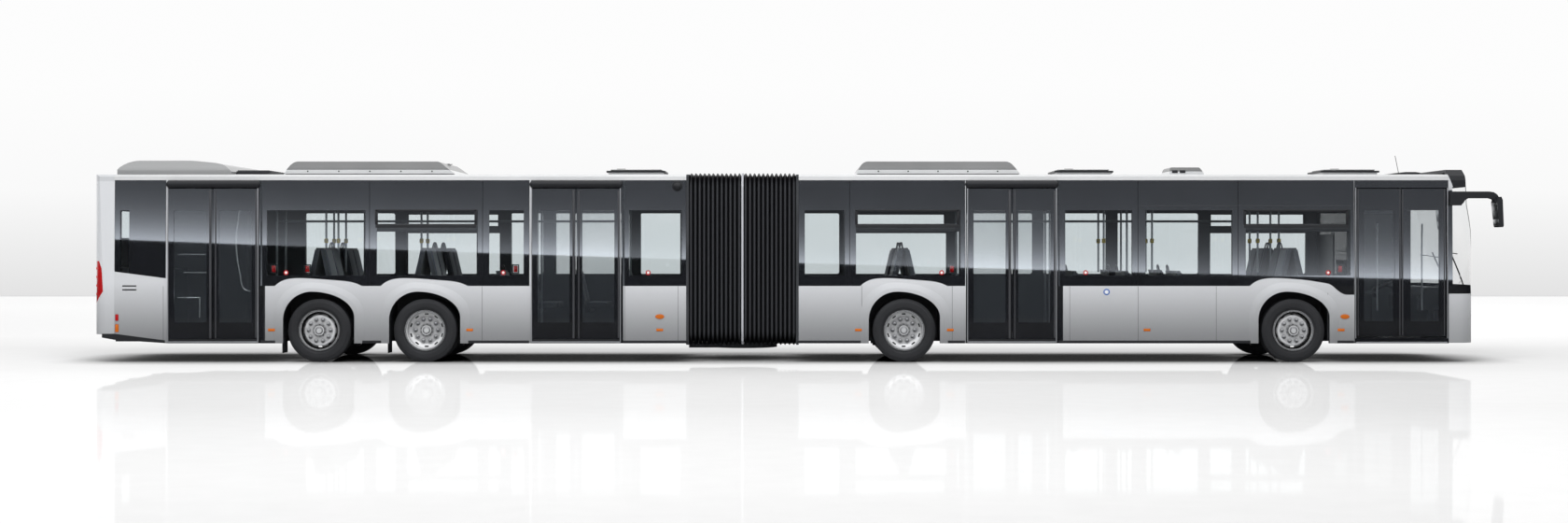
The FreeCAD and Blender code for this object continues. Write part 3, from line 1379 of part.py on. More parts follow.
def driver_station():
    """The dashboard on its foot, the steering wheel, the driver's seat on its step, and the wall behind."""
    dash_front_x = at(dash_front_s + mask_bow + mask_wall)
    dash = prism_xz([(at(dash_rear_s), dash_low_z), (at(dash_rear_s), dash_top_z - dash_foot_w),
                     (at(dash_rear_s) + dash_foot_w, dash_top_z), (dash_front_x, dash_top_z),
                     (dash_front_x, dash_low_z)], -dash_right_y, dash_left_y)
    foot = block(at(dash_rear_s) + dash_foot_w, at(corner_s) + dash_foot_w / 2, -dash_right_y, dash_left_y,
                 floor_top_z + seat_gap, dash_low_z + seat_overlap)
    step = block(at(cab_wall_s) + seat_gap, at(driver_seat_s - seat_pitch / 2), cab_wall_y + bulkhead_t,
                 wall_in_y - side_lean - seat_gap, floor_top_z + seat_gap, floor_top_z + driver_step_h)
    cab_wall = block(at(cab_wall_s) - bulkhead_t, at(cab_wall_s), cab_wall_y, wall_in_y - side_lean - seat_gap,
                     floor_top_z + seat_gap, cab_wall_top_z)
    chair = seat(at(driver_seat_s), driver_seat_y - seat_w / 2, driver_seat_y + seat_w / 2,
                 floor_top_z + driver_step_h, 1, seat_cushion_h)
    pedestal = block(at(driver_seat_s) + seat_shell_t, at(driver_seat_s) + seat_depth - seat_shell_t,
                     driver_seat_y - seat_w / 4, driver_seat_y + seat_w / 4,
                     floor_top_z + driver_step_h - seat_overlap, floor_top_z + driver_step_h + seat_cushion_h)
    hub = Vector(at(dash_rear_s + dash_foot_w), driver_seat_y, dash_top_z + wheel_ring_t)
    tilt = Vector(-steering_lean_share, 0, 1).normalize()
    column = Part.makeCylinder(column_r, 2 * wheel_ring_r, hub, Vector(1, 0, -steering_lean_share))
    wheel_ring = Part.makeCylinder(wheel_ring_r, wheel_ring_t, hub, tilt)
    wheel_ring = wheel_ring.cut(Part.makeCylinder(wheel_ring_r - wheel_ring_t, wheel_ring_t, hub, tilt))
    spoke = block(-wheel_ring_t, wheel_ring_t, -wheel_ring_r + wheel_ring_t / 2, wheel_ring_r - wheel_ring_t / 2,
                  0, wheel_ring_t / 2)
    spoke.Placement = FreeCAD.Placement(hub, FreeCAD.Rotation(Vector(0, 0, 1), tilt))
    return [fused([dash, foot, column, wheel_ring, spoke]), fused([step, chair, pedestal]), cab_wall]


export("driver_station", *driver_station())


def mirror():
    """A flat arm that runs forward from a block on the front pillar, and bends down into a slim head."""
    reach = mirror_root_front_s + mirror_reach
    drop = mirror_top_z - mirror_low_z
    x_root = at(mirror_root_front_s)

    def side_view(shares, half_w):
        points = [(x_root + along * reach, mirror_top_z - down * drop) for along, down in shares]
        return prism_xz(points, mirror_y - half_w, mirror_y + half_w)

    skin = skin_y(mirror_root_low_z) + seat_gap
    root = block(at(mirror_root_rear_s), x_root + seat_overlap, skin, mirror_y + mirror_arm_w / 2,
                 mirror_root_low_z, mirror_top_z)
    arm = side_view(mirror_arm_shares, mirror_arm_w / 2)
    head = side_view(mirror_head_shares, mirror_head_w / 2)
    return fused([root, arm, head])


export("mirrors", mirror(), mirrored(mirror()))
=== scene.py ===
import bmesh
import bpy
import math
from mathutils import Matrix, Vector
from mathutils.bvhtree import BVHTree


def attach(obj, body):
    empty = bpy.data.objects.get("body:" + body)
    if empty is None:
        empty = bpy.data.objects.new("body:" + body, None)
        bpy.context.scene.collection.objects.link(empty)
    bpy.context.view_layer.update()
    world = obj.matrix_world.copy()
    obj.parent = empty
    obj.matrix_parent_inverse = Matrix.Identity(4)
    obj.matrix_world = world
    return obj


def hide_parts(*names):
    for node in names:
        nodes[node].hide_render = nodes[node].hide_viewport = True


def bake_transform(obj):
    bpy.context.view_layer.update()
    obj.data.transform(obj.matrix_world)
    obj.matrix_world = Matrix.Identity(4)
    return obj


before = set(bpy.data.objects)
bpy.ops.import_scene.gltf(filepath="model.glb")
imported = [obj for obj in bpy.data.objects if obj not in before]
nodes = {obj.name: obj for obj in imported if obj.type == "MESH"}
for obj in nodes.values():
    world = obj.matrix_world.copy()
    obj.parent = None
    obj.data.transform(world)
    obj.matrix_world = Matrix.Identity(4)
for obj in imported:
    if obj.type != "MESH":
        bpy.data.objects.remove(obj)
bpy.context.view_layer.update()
scene = bpy.context.scene
print("frame loaded")

# The bus in metres: stations run back from the foremost point of its face
body = {
    "frontX": 10.3375, "sideY": 1.263, "lean": 0.025, "beltZ": 1.153, "glassTop": 2.755, "windowLow": 1.31,
    "windowTop": 2.3, "floorZ": 0.37,
    "axles": {"front": 2.805, "second": 8.705, "third": 15.97, "fourth": 17.575},
    "tyreRadius": 0.478, "tyreOut": 1.24, "twinSpacing": 0.318, "pivot": 11.158, "bellowsHalf": 0.813,
}
leanSlope = body["lean"] / (body["glassTop"] - body["beltZ"])
# the sides a piece is made on, and once for a piece across the middle
both, right, left, once = (-1, 1), (-1,), (1,), (1,)


def at(station):
    return body["frontX"] - station


def skinY(z):
    return body["sideY"] - max(0.0, z - body["beltZ"]) * leanSlope


# Materials: each is a small tree on Object coordinates
def material(name, build, *values, **options):
    made = bpy.data.materials.new(name)
    made.use_nodes = True
    tree = made.node_tree
    tree.nodes.clear()
    output = tree.nodes.new("ShaderNodeOutputMaterial")
    coords = tree.nodes.new("ShaderNodeTexCoord").outputs["Object"]
    tree.links.new(build(tree, coords, *values, **options), output.inputs["Surface"])
    return made


def add(tree, kind, inputs=None, **settings):
    # an input takes a number, a colour, a vector or another node's output
    node = tree.nodes.new(kind)
    for name, value in settings.items():
        setattr(node, name, value)
    for key, value in (inputs or {}).items():
        socket = node.inputs[key]
        if isinstance(value, tuple):
            socket.default_value = value + (1,) * (len(socket.default_value) - len(value))
        elif isinstance(value, (int, float)):
            socket.default_value = value
        elif value is not None:
            tree.links.new(value, socket)
    return node


def maths(tree, operation, *values, clamp=False):
    return add(tree, "ShaderNodeMath", dict(enumerate(values)), operation=operation, use_clamp=clamp).outputs[0]


def times(tree, a, b):
    return maths(tree, "MULTIPLY", a, b)


def over(tree, a, b):
    return maths(tree, "GREATER_THAN", a, b)


def under(tree, a, b):
    return maths(tree, "LESS_THAN", a, b)


def within(tree, value, low, high):
    return times(tree, over(tree, value, low), under(tree, value, high))


def grade(tree, value, low, high):
    # 0 at low and 1 at high
    return maths(tree, "MULTIPLY_ADD", value, 1 / (high - low), -low / (high - low), clamp=True)


def between(tree, share, low, high):
    return maths(tree, "MULTIPLY_ADD", share, high - low, low)


def separate(tree, coords):
    return add(tree, "ShaderNodeSeparateXYZ", {0: coords}).outputs


def noise(tree, coords, scale, detail=3.0):
    inputs = {"Vector": coords, "Scale": scale, "Detail": detail}
    return add(tree, "ShaderNodeTexNoise", inputs).outputs["Fac"]


def ramp(tree, value, stops, interpolation="LINEAR"):
    node = add(tree, "ShaderNodeValToRGB", {"Fac": value})
    node.color_ramp.interpolation = interpolation
    elements = node.color_ramp.elements
    for element, (position, colour) in zip(elements, (stops[0], stops[-1])):
        element.position = position
        element.color = tuple(colour) + (1,)
    for position, colour in stops[1:-1]:
        elements.new(position).color = tuple(colour) + (1,)
    return node.outputs["Color"]


def tint(colour, factor):
    return tuple(min(1.0, channel * factor) for channel in colour)


def mottle(tree, value, colour, darker, lighter, edge=0.3):
    return ramp(tree, value, [(edge, tint(colour, darker)), (1 - edge, tint(colour, lighter))])


def bump(tree, height, strength, distance):
    inputs = {"Height": height, "Strength": strength, "Distance": distance}
    return add(tree, "ShaderNodeBump", inputs).outputs["Normal"]


def shader(tree, base, roughness, metallic=0.0, normal=None, ior=1.45, coat=0.0, sheen=0.0, transmission=0.0):
    return add(tree, "ShaderNodeBsdfPrincipled", {
        "Base Color": base, "Roughness": roughness, "Metallic": metallic, "Normal": normal, "IOR": ior,
        "Coat Weight": coat, "Coat Roughness": 0.04, "Sheen Weight": sheen, "Transmission Weight": transmission,
    }).outputs[0]


def scaled(tree, colour, factor):
    return add(tree, "ShaderNodeVectorMath", {0: colour, "Scale": factor}, operation="SCALE").outputs[0]


def mixColour(tree, factor, a, b):
    return add(tree, "ShaderNodeMix", {0: factor, 6: a, 7: b}, data_type="RGBA").outputs[2]


def mixShader(tree, factor, a, b):
    return add(tree, "ShaderNodeMixShader", {0: factor, 1: a, 2: b}).outputs[0]


def occlusion(tree, distance):
    return add(tree, "ShaderNodeAmbientOcclusion", {"Distance": distance}, samples=8).outputs["AO"]


def plainSurface(tree, coords, colour, roughness, metallic=0.0, grain=60.0, depth=0.0004, vary=0.12, coat=0.0,
                 sheen=0.0):
    fine = noise(tree, coords, grain, 2.0)
    base = mottle(tree, noise(tree, coords, 1.7, 4.0), colour, 1 - vary, 1 + vary)
    rough = maths(tree, "MULTIPLY_ADD", fine, 0.12, max(0.0, roughness - 0.06), clamp=True)
    normal = bump(tree, fine, 0.35, depth) if depth else None
    return shader(tree, base, rough, metallic, normal, coat=coat, sheen=sheen)


def plain(name, *values, **options):
    return material(name, plainSurface, *values, **options)


# some settings below paint shade into the silver: darker towards the skirt, and over the cant rail
paint = {"silver": (0.70, 0.715, 0.74), "silverRoof": (0.78, 0.79, 0.80), "black": (0.012, 0.013, 0.016),
         "inside": (0.085, 0.09, 0.10), "flake": 900.0, "roughness": 0.36, "metallic": 0.22, "coat": 0.2,
         "paintedShadeLowZ": 0.3, "paintedShadeHighZ": 1.2, "lowPaintedShade": 0.37, "paintedShadePower": 1.25, "cantZ": 2.74, "cantPaintedShade": 0.86,
         "recess": 0.004, "wallDepth": 0.05}


def silver(tree, coords, colour, lowPaintedShade=paint["lowPaintedShade"]):
    flake = noise(tree, coords, paint["flake"], 1.0)
    cloud = times(tree, noise(tree, coords, 0.6, 2.0), 0.15)
    base = mixColour(tree, cloud, mottle(tree, flake, colour, 0.9, 1.1, 0.35), tint(colour, 0.9))
    # painted shade: the paint is darkened towards the skirt, and a little over the cant rail
    z = separate(tree, coords)[2]
    rise = grade(tree, z, paint["paintedShadeLowZ"], paint["paintedShadeHighZ"])
    paintedShade = between(tree, maths(tree, "POWER", rise, paint["paintedShadePower"]), lowPaintedShade, 1.0)
    paintedShade = times(tree, paintedShade, between(tree, over(tree, z, paint["cantZ"]), 1.0, paint["cantPaintedShade"]))
    normal = bump(tree, flake, 0.05, 0.0001)
    return shader(tree, scaled(tree, base, paintedShade), paint["roughness"], paint["metallic"], normal,
                  coat=paint["coat"])


# the flank and cowl factors darken the housing's sides: painted shade
housing = {"cowlS": 18.25, "footZ": 2.926, "upLow": 0.9, "upHigh": 1.025, "paintedFlankShade": (0.235, 0.275),
           "cowlPaintedShade": 0.46, "top": (0.95, 1.05), "roughness": 0.32, "metallic": 0.3, "coat": 0.3}


def housingPaint(tree, coords, colour):
    # painted shade: pale along its foot and on its upward faces, and painted much greyer on its flanks and the
    # cowl's
    upward = separate(tree, add(tree, "ShaderNodeNewGeometry").outputs["Normal"])[2]
    x, y, z = separate(tree, coords)
    isCowl = under(tree, x, at(housing["cowlS"]))
    foot = under(tree, maths(tree, "ADD", z, isCowl), housing["footZ"])
    paintedLightMask = maths(tree, "MAXIMUM", foot, grade(tree, upward, housing["upLow"], housing["upHigh"]))
    cloud = noise(tree, coords, 1.2, 3.0)
    paintedFlankShade = mottle(tree, cloud, colour, *housing["paintedFlankShade"])
    paintedFlankShade = mixColour(tree, isCowl, paintedFlankShade, tint(colour, housing["cowlPaintedShade"]))
    base = mixColour(tree, paintedLightMask, paintedFlankShade, mottle(tree, cloud, colour, *housing["top"]))
    normal = bump(tree, noise(tree, coords, 500.0, 1.0), 0.05, 0.0001)
    return shader(tree, base, housing["roughness"], housing["metallic"], normal, coat=housing["coat"])


glass = {"mirrorShare": 0.15, "doorShare": 0.45, "veil": 0.05, "milk": (0.56, 0.64, 0.74), "gloss": 0.012,
         "blackIor": 4.2, "clearIor": 1.02, "screenIor": 1.06, "fieldLow": 0.62, "fieldTop": 2.3,
         "rearS": 20.93}


def leaning(tree, coords):
    # a slight slope, as the side glass has over the belt
    return bump(tree, times(tree, separate(tree, coords)[2], -leanSlope), 1.0, 1.0)


def blackGlaze(tree, coords, leans=False):
    base = mottle(tree, noise(tree, coords, 2.0, 2.0), paint["black"], 0.8, 1.2)
    return shader(tree, base, glass["gloss"], 0.0, leaning(tree, coords) if leans else None, glass["blackIor"])


def matt(tree, coords, dark, light, roughness):
    return shader(tree, ramp(tree, noise(tree, coords, 200.0), [(0.3, dark), (0.7, light)]), roughness)


# Windows in the panes, as stations (front, rear): the rest of each pane is black behind the glass
windows = {
    "front": [(1.978, 3.558), (3.738, 5.074), (5.254, 6.28), (6.46, 7.692), (7.872, 9.444), (9.624, 10.215)],
    "rear": [(12.101, 12.882), (13.062, 14.294), (14.474, 15.006), (15.186, 16.719), (16.899, 18.371),
             (18.551, 18.92), (20.451, 20.597)],
}
doors = {"door1": (0.458, 1.888), "door2": (6.37, 7.782), "door3": (12.972, 14.384), "door4": (18.461, 19.892)}


def spanMask(tree, x, spans):
    # 1 where a point's station lies in one of the spans
    low, high = at(spans[-1][1]) - 0.2, at(spans[0][0]) + 0.2
    stops = [(0.0, (0, 0, 0))]
    for front, rear in reversed(spans):
        stops += [((at(rear) - low) / (high - low), (1, 1, 1)), ((at(front) - low) / (high - low), (0, 0, 0))]
    return ramp(tree, grade(tree, x, low, high), stops + [(1.0, (0, 0, 0))], "CONSTANT")


def wallPaint(tree, coords):
    # silver outside, black round the doors and in recesses, and grey on the inner face
    x, y, z = separate(tree, coords)
    rise = maths(tree, "MAXIMUM", maths(tree, "SUBTRACT", z, body["beltZ"]), 0.0)
    skin = maths(tree, "MULTIPLY_ADD", rise, -leanSlope, body["sideY"])
    depth = maths(tree, "SUBTRACT", skin, maths(tree, "ABSOLUTE", y))
    inDoor = times(tree, spanMask(tree, x, list(doors.values())), under(tree, y, 0.0))
    outer = mixShader(tree, inDoor, silver(tree, coords, paint["silver"]), blackGlaze(tree, coords))
    outer = mixShader(tree, over(tree, depth, paint["recess"]), outer, shader(tree, paint["black"], 0.5))
    inner = shader(tree, mottle(tree, noise(tree, coords, 300.0), paint["inside"], 0.9, 1.1), 0.6)
    return mixShader(tree, over(tree, depth, paint["wallDepth"]), outer, inner)


def seeThrough(tree, coords, share, isDoor=False):
    pale = ramp(tree, noise(tree, coords, 1.3, 2.0), [(0.3, (0.90, 0.95, 0.96)), (0.7, (0.94, 0.98, 0.99))])
    clear = shader(tree, pale, 0.0, ior=glass["clearIor"], transmission=1.0)
    # only the face towards the viewer mirrors, and the doors' glass is a little milky
    isBack = add(tree, "ShaderNodeNewGeometry").outputs["Backfacing"]
    if isDoor:
        milk = add(tree, "ShaderNodeBsdfDiffuse", {"Color": glass["milk"]}).outputs[0]
        clear = mixShader(tree, between(tree, isBack, glass["veil"], 0.0), clear, milk)
    normal = leaning(tree, coords) if isDoor else None
    mirror = add(tree, "ShaderNodeBsdfGlossy", {"Roughness": glass["gloss"], "Normal": normal}).outputs[0]
    return mixShader(tree, between(tree, isBack, share, 0.0), clear, mirror)


def pane(tree, coords, spans, doorSpans):
    x, y, z = separate(tree, coords)
    mask = times(tree, within(tree, z, body["windowLow"], body["windowTop"]), spanMask(tree, x, spans))
    # the rear window, which lies across the end, is clear too
    mask = maths(tree, "MAXIMUM", mask, under(tree, x, at(glass["rearS"])))
    # a door's pane on the right side is clear all over
    inDoor = times(tree, spanMask(tree, x, doorSpans), under(tree, y, 0.0))
    clear = mixShader(tree, inDoor, seeThrough(tree, coords, glass["mirrorShare"]),
                      seeThrough(tree, coords, glass["doorShare"], True))
    return mixShader(tree, maths(tree, "MAXIMUM", mask, inDoor), blackGlaze(tree, coords), clear)


def doorGlaze(tree, coords, hoodZ, spans=()):
    # black glass with see-through fields, and a matt hood above
    x, y, z = separate(tree, coords)
    surface = blackGlaze(tree, coords, True)
    if spans:
        field = times(tree, within(tree, z, glass["fieldLow"], glass["fieldTop"]), spanMask(tree, x, spans))
        surface = mixShader(tree, field, surface, seeThrough(tree, coords, glass["doorShare"], True))
    hood = matt(tree, coords, (0.016, 0.017, 0.02), (0.024, 0.025, 0.029), 0.42)
    return mixShader(tree, over(tree, z, hoodZ), surface, hood)


mask = {"signTopS": 0.478, "signLowS": 0.369, "signTopZ": 2.902, "signLowZ": 2.602, "screenTop": 2.4,
        "screenLow": 1.036, "bandLow": 0.986, "bandHigh": 1.166, "lowPaintedShade": 0.55}


def maskPaint(tree, coords):
    # silver below and on the hood, black beside the windscreen and over the sign
    x, y, z = separate(tree, coords)
    slope = (mask["signTopS"] - mask["signLowS"]) / (mask["signTopZ"] - mask["signLowZ"])
    edge = maths(tree, "MULTIPLY_ADD", z, -slope, at(mask["signLowS"]) + slope * mask["signLowZ"])
    isSign = times(tree, over(tree, x, edge), over(tree, z, mask["screenTop"]))
    isPillar = within(tree, z, mask["screenLow"], mask["signLowZ"])
    # its silver is painted darker towards the foot, less than the walls'
    metal = silver(tree, coords, paint["silver"], mask["lowPaintedShade"])
    surface = mixShader(tree, isPillar, metal, blackGlaze(tree, coords))
    hood = matt(tree, coords, (0.014, 0.015, 0.018), (0.02, 0.021, 0.025), 0.4)
    return mixShader(tree, isSign, surface, hood)


def screenGlass(tree, coords, colour):
    # a black band lies along the foot of the screen
    base = mottle(tree, noise(tree, coords, 1.3, 2.0), colour, 0.97, 1.02)
    clear = shader(tree, base, 0.0, ior=glass["screenIor"], transmission=1.0)
    isBand = within(tree, separate(tree, coords)[2], mask["bandLow"], mask["bandHigh"])
    return mixShader(tree, isBand, clear, blackGlaze(tree, coords))


def wheelAlloy(tree, coords):
    # painted shade: the alloy is darkened by ambient occlusion round its holes and edges
    base = ramp(tree, noise(tree, coords, 2.0), [(0.3, (0.84, 0.85, 0.87)), (0.7, (0.92, 0.93, 0.945))])
    paintedShadeAlloy = scaled(tree, base, maths(tree, "POWER", occlusion(tree, 0.06), 2.4))
    return shader(tree, paintedShadeAlloy, 0.24, 0.45, bump(tree, noise(tree, coords, 60.0), 0.2, 0.0002), coat=0.3)


finish = {
    "wall": material("silver_paint_wall", wallPaint),
    "mask": material("mask_paint", maskPaint),
    "roof": material("roof_paint", silver, tint(paint["silverRoof"], 1.05)),
    # painted light: the rear end's silver is a lighter copy of the walls', with less painted shade towards the
    # skirt
    "rearPaintedLighter": material("rear_paint_painted_lighter", silver, tint(paint["silver"], 1.08), 0.6),
    "frontPane": material("tinted_glass_front", pane, windows["front"], [doors["door1"], doors["door2"]]),
    "rearPane": material("tinted_glass_rear", pane, windows["rear"], [doors["door3"], doors["door4"]]),
    "clear": material("screen_glass", screenGlass, (0.985, 0.992, 0.995)),
    "glaze": material("black_glaze", doorGlaze, 2.628),
    "leaf": material("leaf_glaze", doorGlaze, 2.7, [(0.606, 1.03), (1.298, 1.736)]),
    "housing": material("housing_paint_painted_shade", housingPaint, paint["silverRoof"]),
    "wheel": material("wheel_alloy", wheelAlloy),
    "trim": plain("black_trim", (0.02, 0.021, 0.024), 0.38, grain=220.0),
    "rubber": plain("tyre_rubber", (0.022, 0.023, 0.026), 0.62, grain=160.0, depth=0.0008),
    "bellows": plain("bellows_rubber", (0.025, 0.026, 0.03), 0.55, grain=120.0, depth=0.0008),
    "hoop": plain("hoop_grey", (0.42, 0.43, 0.46), 0.42, 0.1, grain=80.0, depth=0.0002),
    "chassis": plain("chassis_black", (0.02, 0.02, 0.022), 0.5, grain=90.0),
    "seat": plain("seat_fabric", (0.035, 0.038, 0.045), 0.7, grain=400.0, sheen=0.2),
    "rail": plain("rail_paint", (0.30, 0.32, 0.34), 0.3, 0.6),
    "lamp": plain("lamp_lens", (0.75, 0.78, 0.80), 0.1, 0.2, grain=30.0, coat=0.6),
    "red": plain("red_lens", (0.42, 0.01, 0.012), 0.14, grain=70.0, coat=0.6),
    "floor": plain("floor_covering", (0.04, 0.043, 0.048), 0.6, grain=500.0, vary=0.25),
    "fabric": plain("seat_weave", (0.05, 0.055, 0.075), 0.85, grain=700.0, depth=0.0006, sheen=0.3, vary=0.2),
    "hatchPane": plain("hatch_pane", (0.62, 0.63, 0.63), 0.22, depth=0.0001, coat=0.3),
    "mirrorGlass": plain("mirror_glass", (0.75, 0.77, 0.79), 0.3, 1.0, grain=20.0, depth=0, vary=0.03),
    "eye": plain("lamp_eye", (0.02, 0.024, 0.03), 0.05, depth=0, coat=0.8),
    "redBright": plain("red_bright", (0.62, 0.02, 0.02), 0.12, depth=0, coat=0.6),
    "bright": plain("bright_metal", (0.62, 0.63, 0.65), 0.24, 0.85, grain=80.0, depth=0.0002, vary=0.06),
    "handle": plain("handle_grey", (0.30, 0.31, 0.33), 0.3, 0.3, grain=70.0, depth=0.0002),
    "seal": plain("door_seal", (0.05, 0.052, 0.058), 0.5, grain=120.0),
    "seam": plain("panel_seam", (0.055, 0.057, 0.062), 0.7, grain=120.0, depth=0),
    "amber": plain("amber_lens", (0.52, 0.125, 0.012), 0.16, coat=0.6),
    "pale": plain("pale_face", (0.72, 0.72, 0.71), 0.45, depth=0.0001),
    "blue": plain("blue_ring", (0.03, 0.12, 0.42), 0.3, depth=0.0001),
    "yellow": plain("knob_yellow", (0.62, 0.45, 0.03), 0.4, depth=0.0001),
    "engine": plain("engine_iron", (0.08, 0.08, 0.082), 0.6, 0.4, grain=50.0, depth=0.002),
}
nodeFinish = {
    "front_side_right": "wall", "front_side_left": "wall", "rear_side_right": "wall", "rear_side_left": "wall",
    "front_glass": "frontPane", "rear_glass": "rearPane", "windscreen": "clear", "front_mask": "mask",
    "rear_end": "rearPaintedLighter", "engine_lid": "rearPaintedLighter", "front_roof": "roof", "rear_roof": "roof",
    "front_roof_housings": "housing", "rear_roof_housings": "housing", "headlamps": "lamp", "tail_lamps": "red",
    "bellows": "bellows", "centre_hoop": "hoop", "front_floor": "floor", "rear_floor": "floor",
    "front_seats": "seat", "rear_seats": "seat", "front_rails": "rail", "rear_rails": "rail",
    "door_2": "glaze", "rear_doors": "glaze", "engine": "engine",
}
# the other nodes by the end of their names, and trim for what is left
endings = {"tyre": "rubber", "tyres": "rubber", "rim": "wheel", "axle": "chassis", "knuckle": "chassis",
           "leaf": "leaf", "": "trim"}
for name, node in nodes.items():
    key = nodeFinish.get(name) or next(key for ending, key in endings.items() if name.endswith(ending))
    node.data.materials.clear()
    node.data.materials.append(finish[key])
print("materials set on the frame")


# Shared ways of making a piece
def finishPiece(name, bm, key, rider, smoothOver=0.6):
    bmesh.ops.recalc_face_normals(bm, faces=bm.faces[:])
    mesh = bpy.data.meshes.new(name)
    bm.to_mesh(mesh)
    bm.free()
    mesh.materials.append(finish[key])
    mesh.shade_smooth()
    mesh.set_sharp_from_angle(angle=smoothOver)
    piece = bpy.data.objects.new(name, mesh)
    scene.collection.objects.link(piece)
    if rider:
        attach(piece, rider)
    return piece


def settle(bm, made, edges, bevel, segments, turn, centre):
    # bevels, turns and moves what was just made
    if bevel:
        faces = bmesh.ops.bevel(bm, geom=list(edges), offset=bevel, segments=segments, profile=0.5,
                                affect="EDGES", material=-1)["faces"]
        made = list({vert for face in faces for vert in face.verts} | {vert for vert in made if vert.is_valid})
    bmesh.ops.rotate(bm, cent=(0, 0, 0), matrix=turn, verts=made)
    bmesh.ops.translate(bm, vec=centre, verts=made)
    return made


axisTurn = {"x": Matrix.Rotation(math.pi / 2, 3, "Y"), "y": Matrix.Rotation(-math.pi / 2, 3, "X"),
            "z": Matrix.Identity(3)}


def addBox(bm, low, high, bevel=0.0, segments=2, turn=axisTurn["z"]):
    made = bmesh.ops.create_cube(bm, size=1.0)["verts"]
    bmesh.ops.scale(bm, vec=[b - a for a, b in zip(low, high)], verts=made)
    edges = {edge for vert in made for edge in vert.link_edges}
    settle(bm, made, edges, bevel, segments, turn, [(a + b) / 2 for a, b in zip(low, high)])


def addSideBox(bm, side, stations, across, heights, bevel=0.0, segments=2):
    # stations front and rear, distances from the middle of the bus, and heights
    y0, y1 = sorted(side * y for y in across)
    addBox(bm, (at(stations[1]), y0, heights[0]), (at(stations[0]), y1, heights[1]), bevel, segments)


def addRound(bm, centre, axis, radius, depth, segments=32, bevel=0.0, topRadius=None):
    made = bmesh.ops.create_cone(bm, cap_ends=True, segments=segments, radius1=radius,
                                 radius2=radius if topRadius is None else topRadius, depth=depth)["verts"]
    rims = [e for e in {e for v in made for e in v.link_edges} if any(len(f.verts) > 4 for f in e.link_faces)]
    return settle(bm, made, rims, bevel, 2, axisTurn[axis], centre)


def smallPiece(name, key, rider, boxes=(), rounds=(), sides=both):
    # boxes as addSideBox takes them, made on each side, and rounds as addRound takes them
    bm = bmesh.new()
    for side in sides:
        for box in boxes:
            addSideBox(bm, side, *box)
    for one in rounds:
        addRound(bm, *one)
    return finishPiece(name, bm, key, rider)


def addSpin(bm, profile, centre, steps):
    verts = [bm.verts.new((centre[0] + radius, y, centre[2])) for radius, y in profile]
    edges = [bm.edges.new((a, b)) for a, b in zip(verts, verts[1:] + verts[:1])]
    bmesh.ops.spin(bm, geom=verts + edges, cent=centre, axis=(0, 1, 0), angle=2 * math.pi, steps=steps,
                   use_merge=True)


def addOutline(bm, points, y, depth):
    face = bm.faces.new([bm.verts.new((at(station), y, z)) for station, z in points])
    grown = bmesh.ops.extrude_face_region(bm, geom=[face])["geom"]
    bmesh.ops.translate(bm, vec=(0, depth, 0), verts=[v for v in grown if isinstance(v, bmesh.types.BMVert)])


def bars(name, routes, radius, key, rider, isSmooth=False):
    curve = bpy.data.curves.new(name, "CURVE")
    curve.dimensions = "3D"
    curve.bevel_depth = radius
    curve.bevel_resolution = 3
    curve.use_fill_caps = True
    for route in routes:
        spline = curve.splines.new("BEZIER" if isSmooth else "POLY")
        points = spline.bezier_points if isSmooth else spline.points
        points.add(len(route) - 1)
        for point, place in zip(points, route):
            point.co = tuple(place) + (() if isSmooth else (1,))
            if isSmooth:
                point.handle_left_type = point.handle_right_type = "AUTO"
    curve.materials.append(finish[key])
    piece = bpy.data.objects.new(name, curve)
    scene.collection.objects.link(piece)
    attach(piece, rider)


def spread(a, b, count):
    return [a + (b - a) * i / (count - 1) for i in range(count)]


# Tyres with grooves, shoulders and sidewall rings, in place of the plain ones
tyre = {"radius": 0.478, "width": 0.276, "shoulder": 0.03, "groove": 0.011, "grooves": (0.2, 0.4, 0.6, 0.8),
        "grooveWidth": 0.009, "steps": 88,
        # the sidewall from the bead outwards: radius, and distance in from the outer face
        "wall": ((0.2923, 0.024), (0.318, 0.022), (0.322, 0.016), (0.345, 0.007), (0.349, 0.0035),
                 (0.368, 0.001), (0.40, 0.0), (0.425, 0.003), (0.429, 0.0065), (0.447, 0.011),
                 (0.464, 0.018), (0.472, 0.0245))}


def tyreProfile(outY, side):
    shoulder, radius = tyre["shoulder"], tyre["radius"]
    tread = [(radius, shoulder)]
    for share in tyre["grooves"]:
        middle = shoulder + share * (tyre["width"] - 2 * shoulder)
        wide, deep = tyre["grooveWidth"] / 2, radius - tyre["groove"]
        tread += [(radius, middle - wide), (deep, middle - wide * 0.6), (deep, middle + wide * 0.6),
                  (radius, middle + wide)]
    tread.append((radius, tyre["width"] - shoulder))
    inner = [(r, tyre["width"] - inset) for r, inset in reversed(tyre["wall"])]
    return [(r, side * (outY - inset)) for r, inset in list(tyre["wall"]) + tread + inner]


wheels = [(axle, kind, side, "%s_%s" % (axle, "left" if side > 0 else "right"))
          for axle, kind in (("front", "wheel"), ("second", "wheels"), ("third", "wheels"), ("fourth", "wheel"))
          for side in (1, -1)]
for axle, kind, side, stem in wheels:
    isTwin = kind == "wheels"
    bm = bmesh.new()
    for outY in [body["tyreOut"]] + ([body["tyreOut"] - body["twinSpacing"]] if isTwin else []):
        addSpin(bm, tyreProfile(outY, side), (at(body["axles"][axle]), 0, body["tyreRadius"]), tyre["steps"])
    piece = finishPiece(stem + "_tread", bm, "rubber", "%s_%s" % (stem, kind), 0.5)
    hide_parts(stem + ("_tyres" if isTwin else "_tyre"))
print("tyres made")

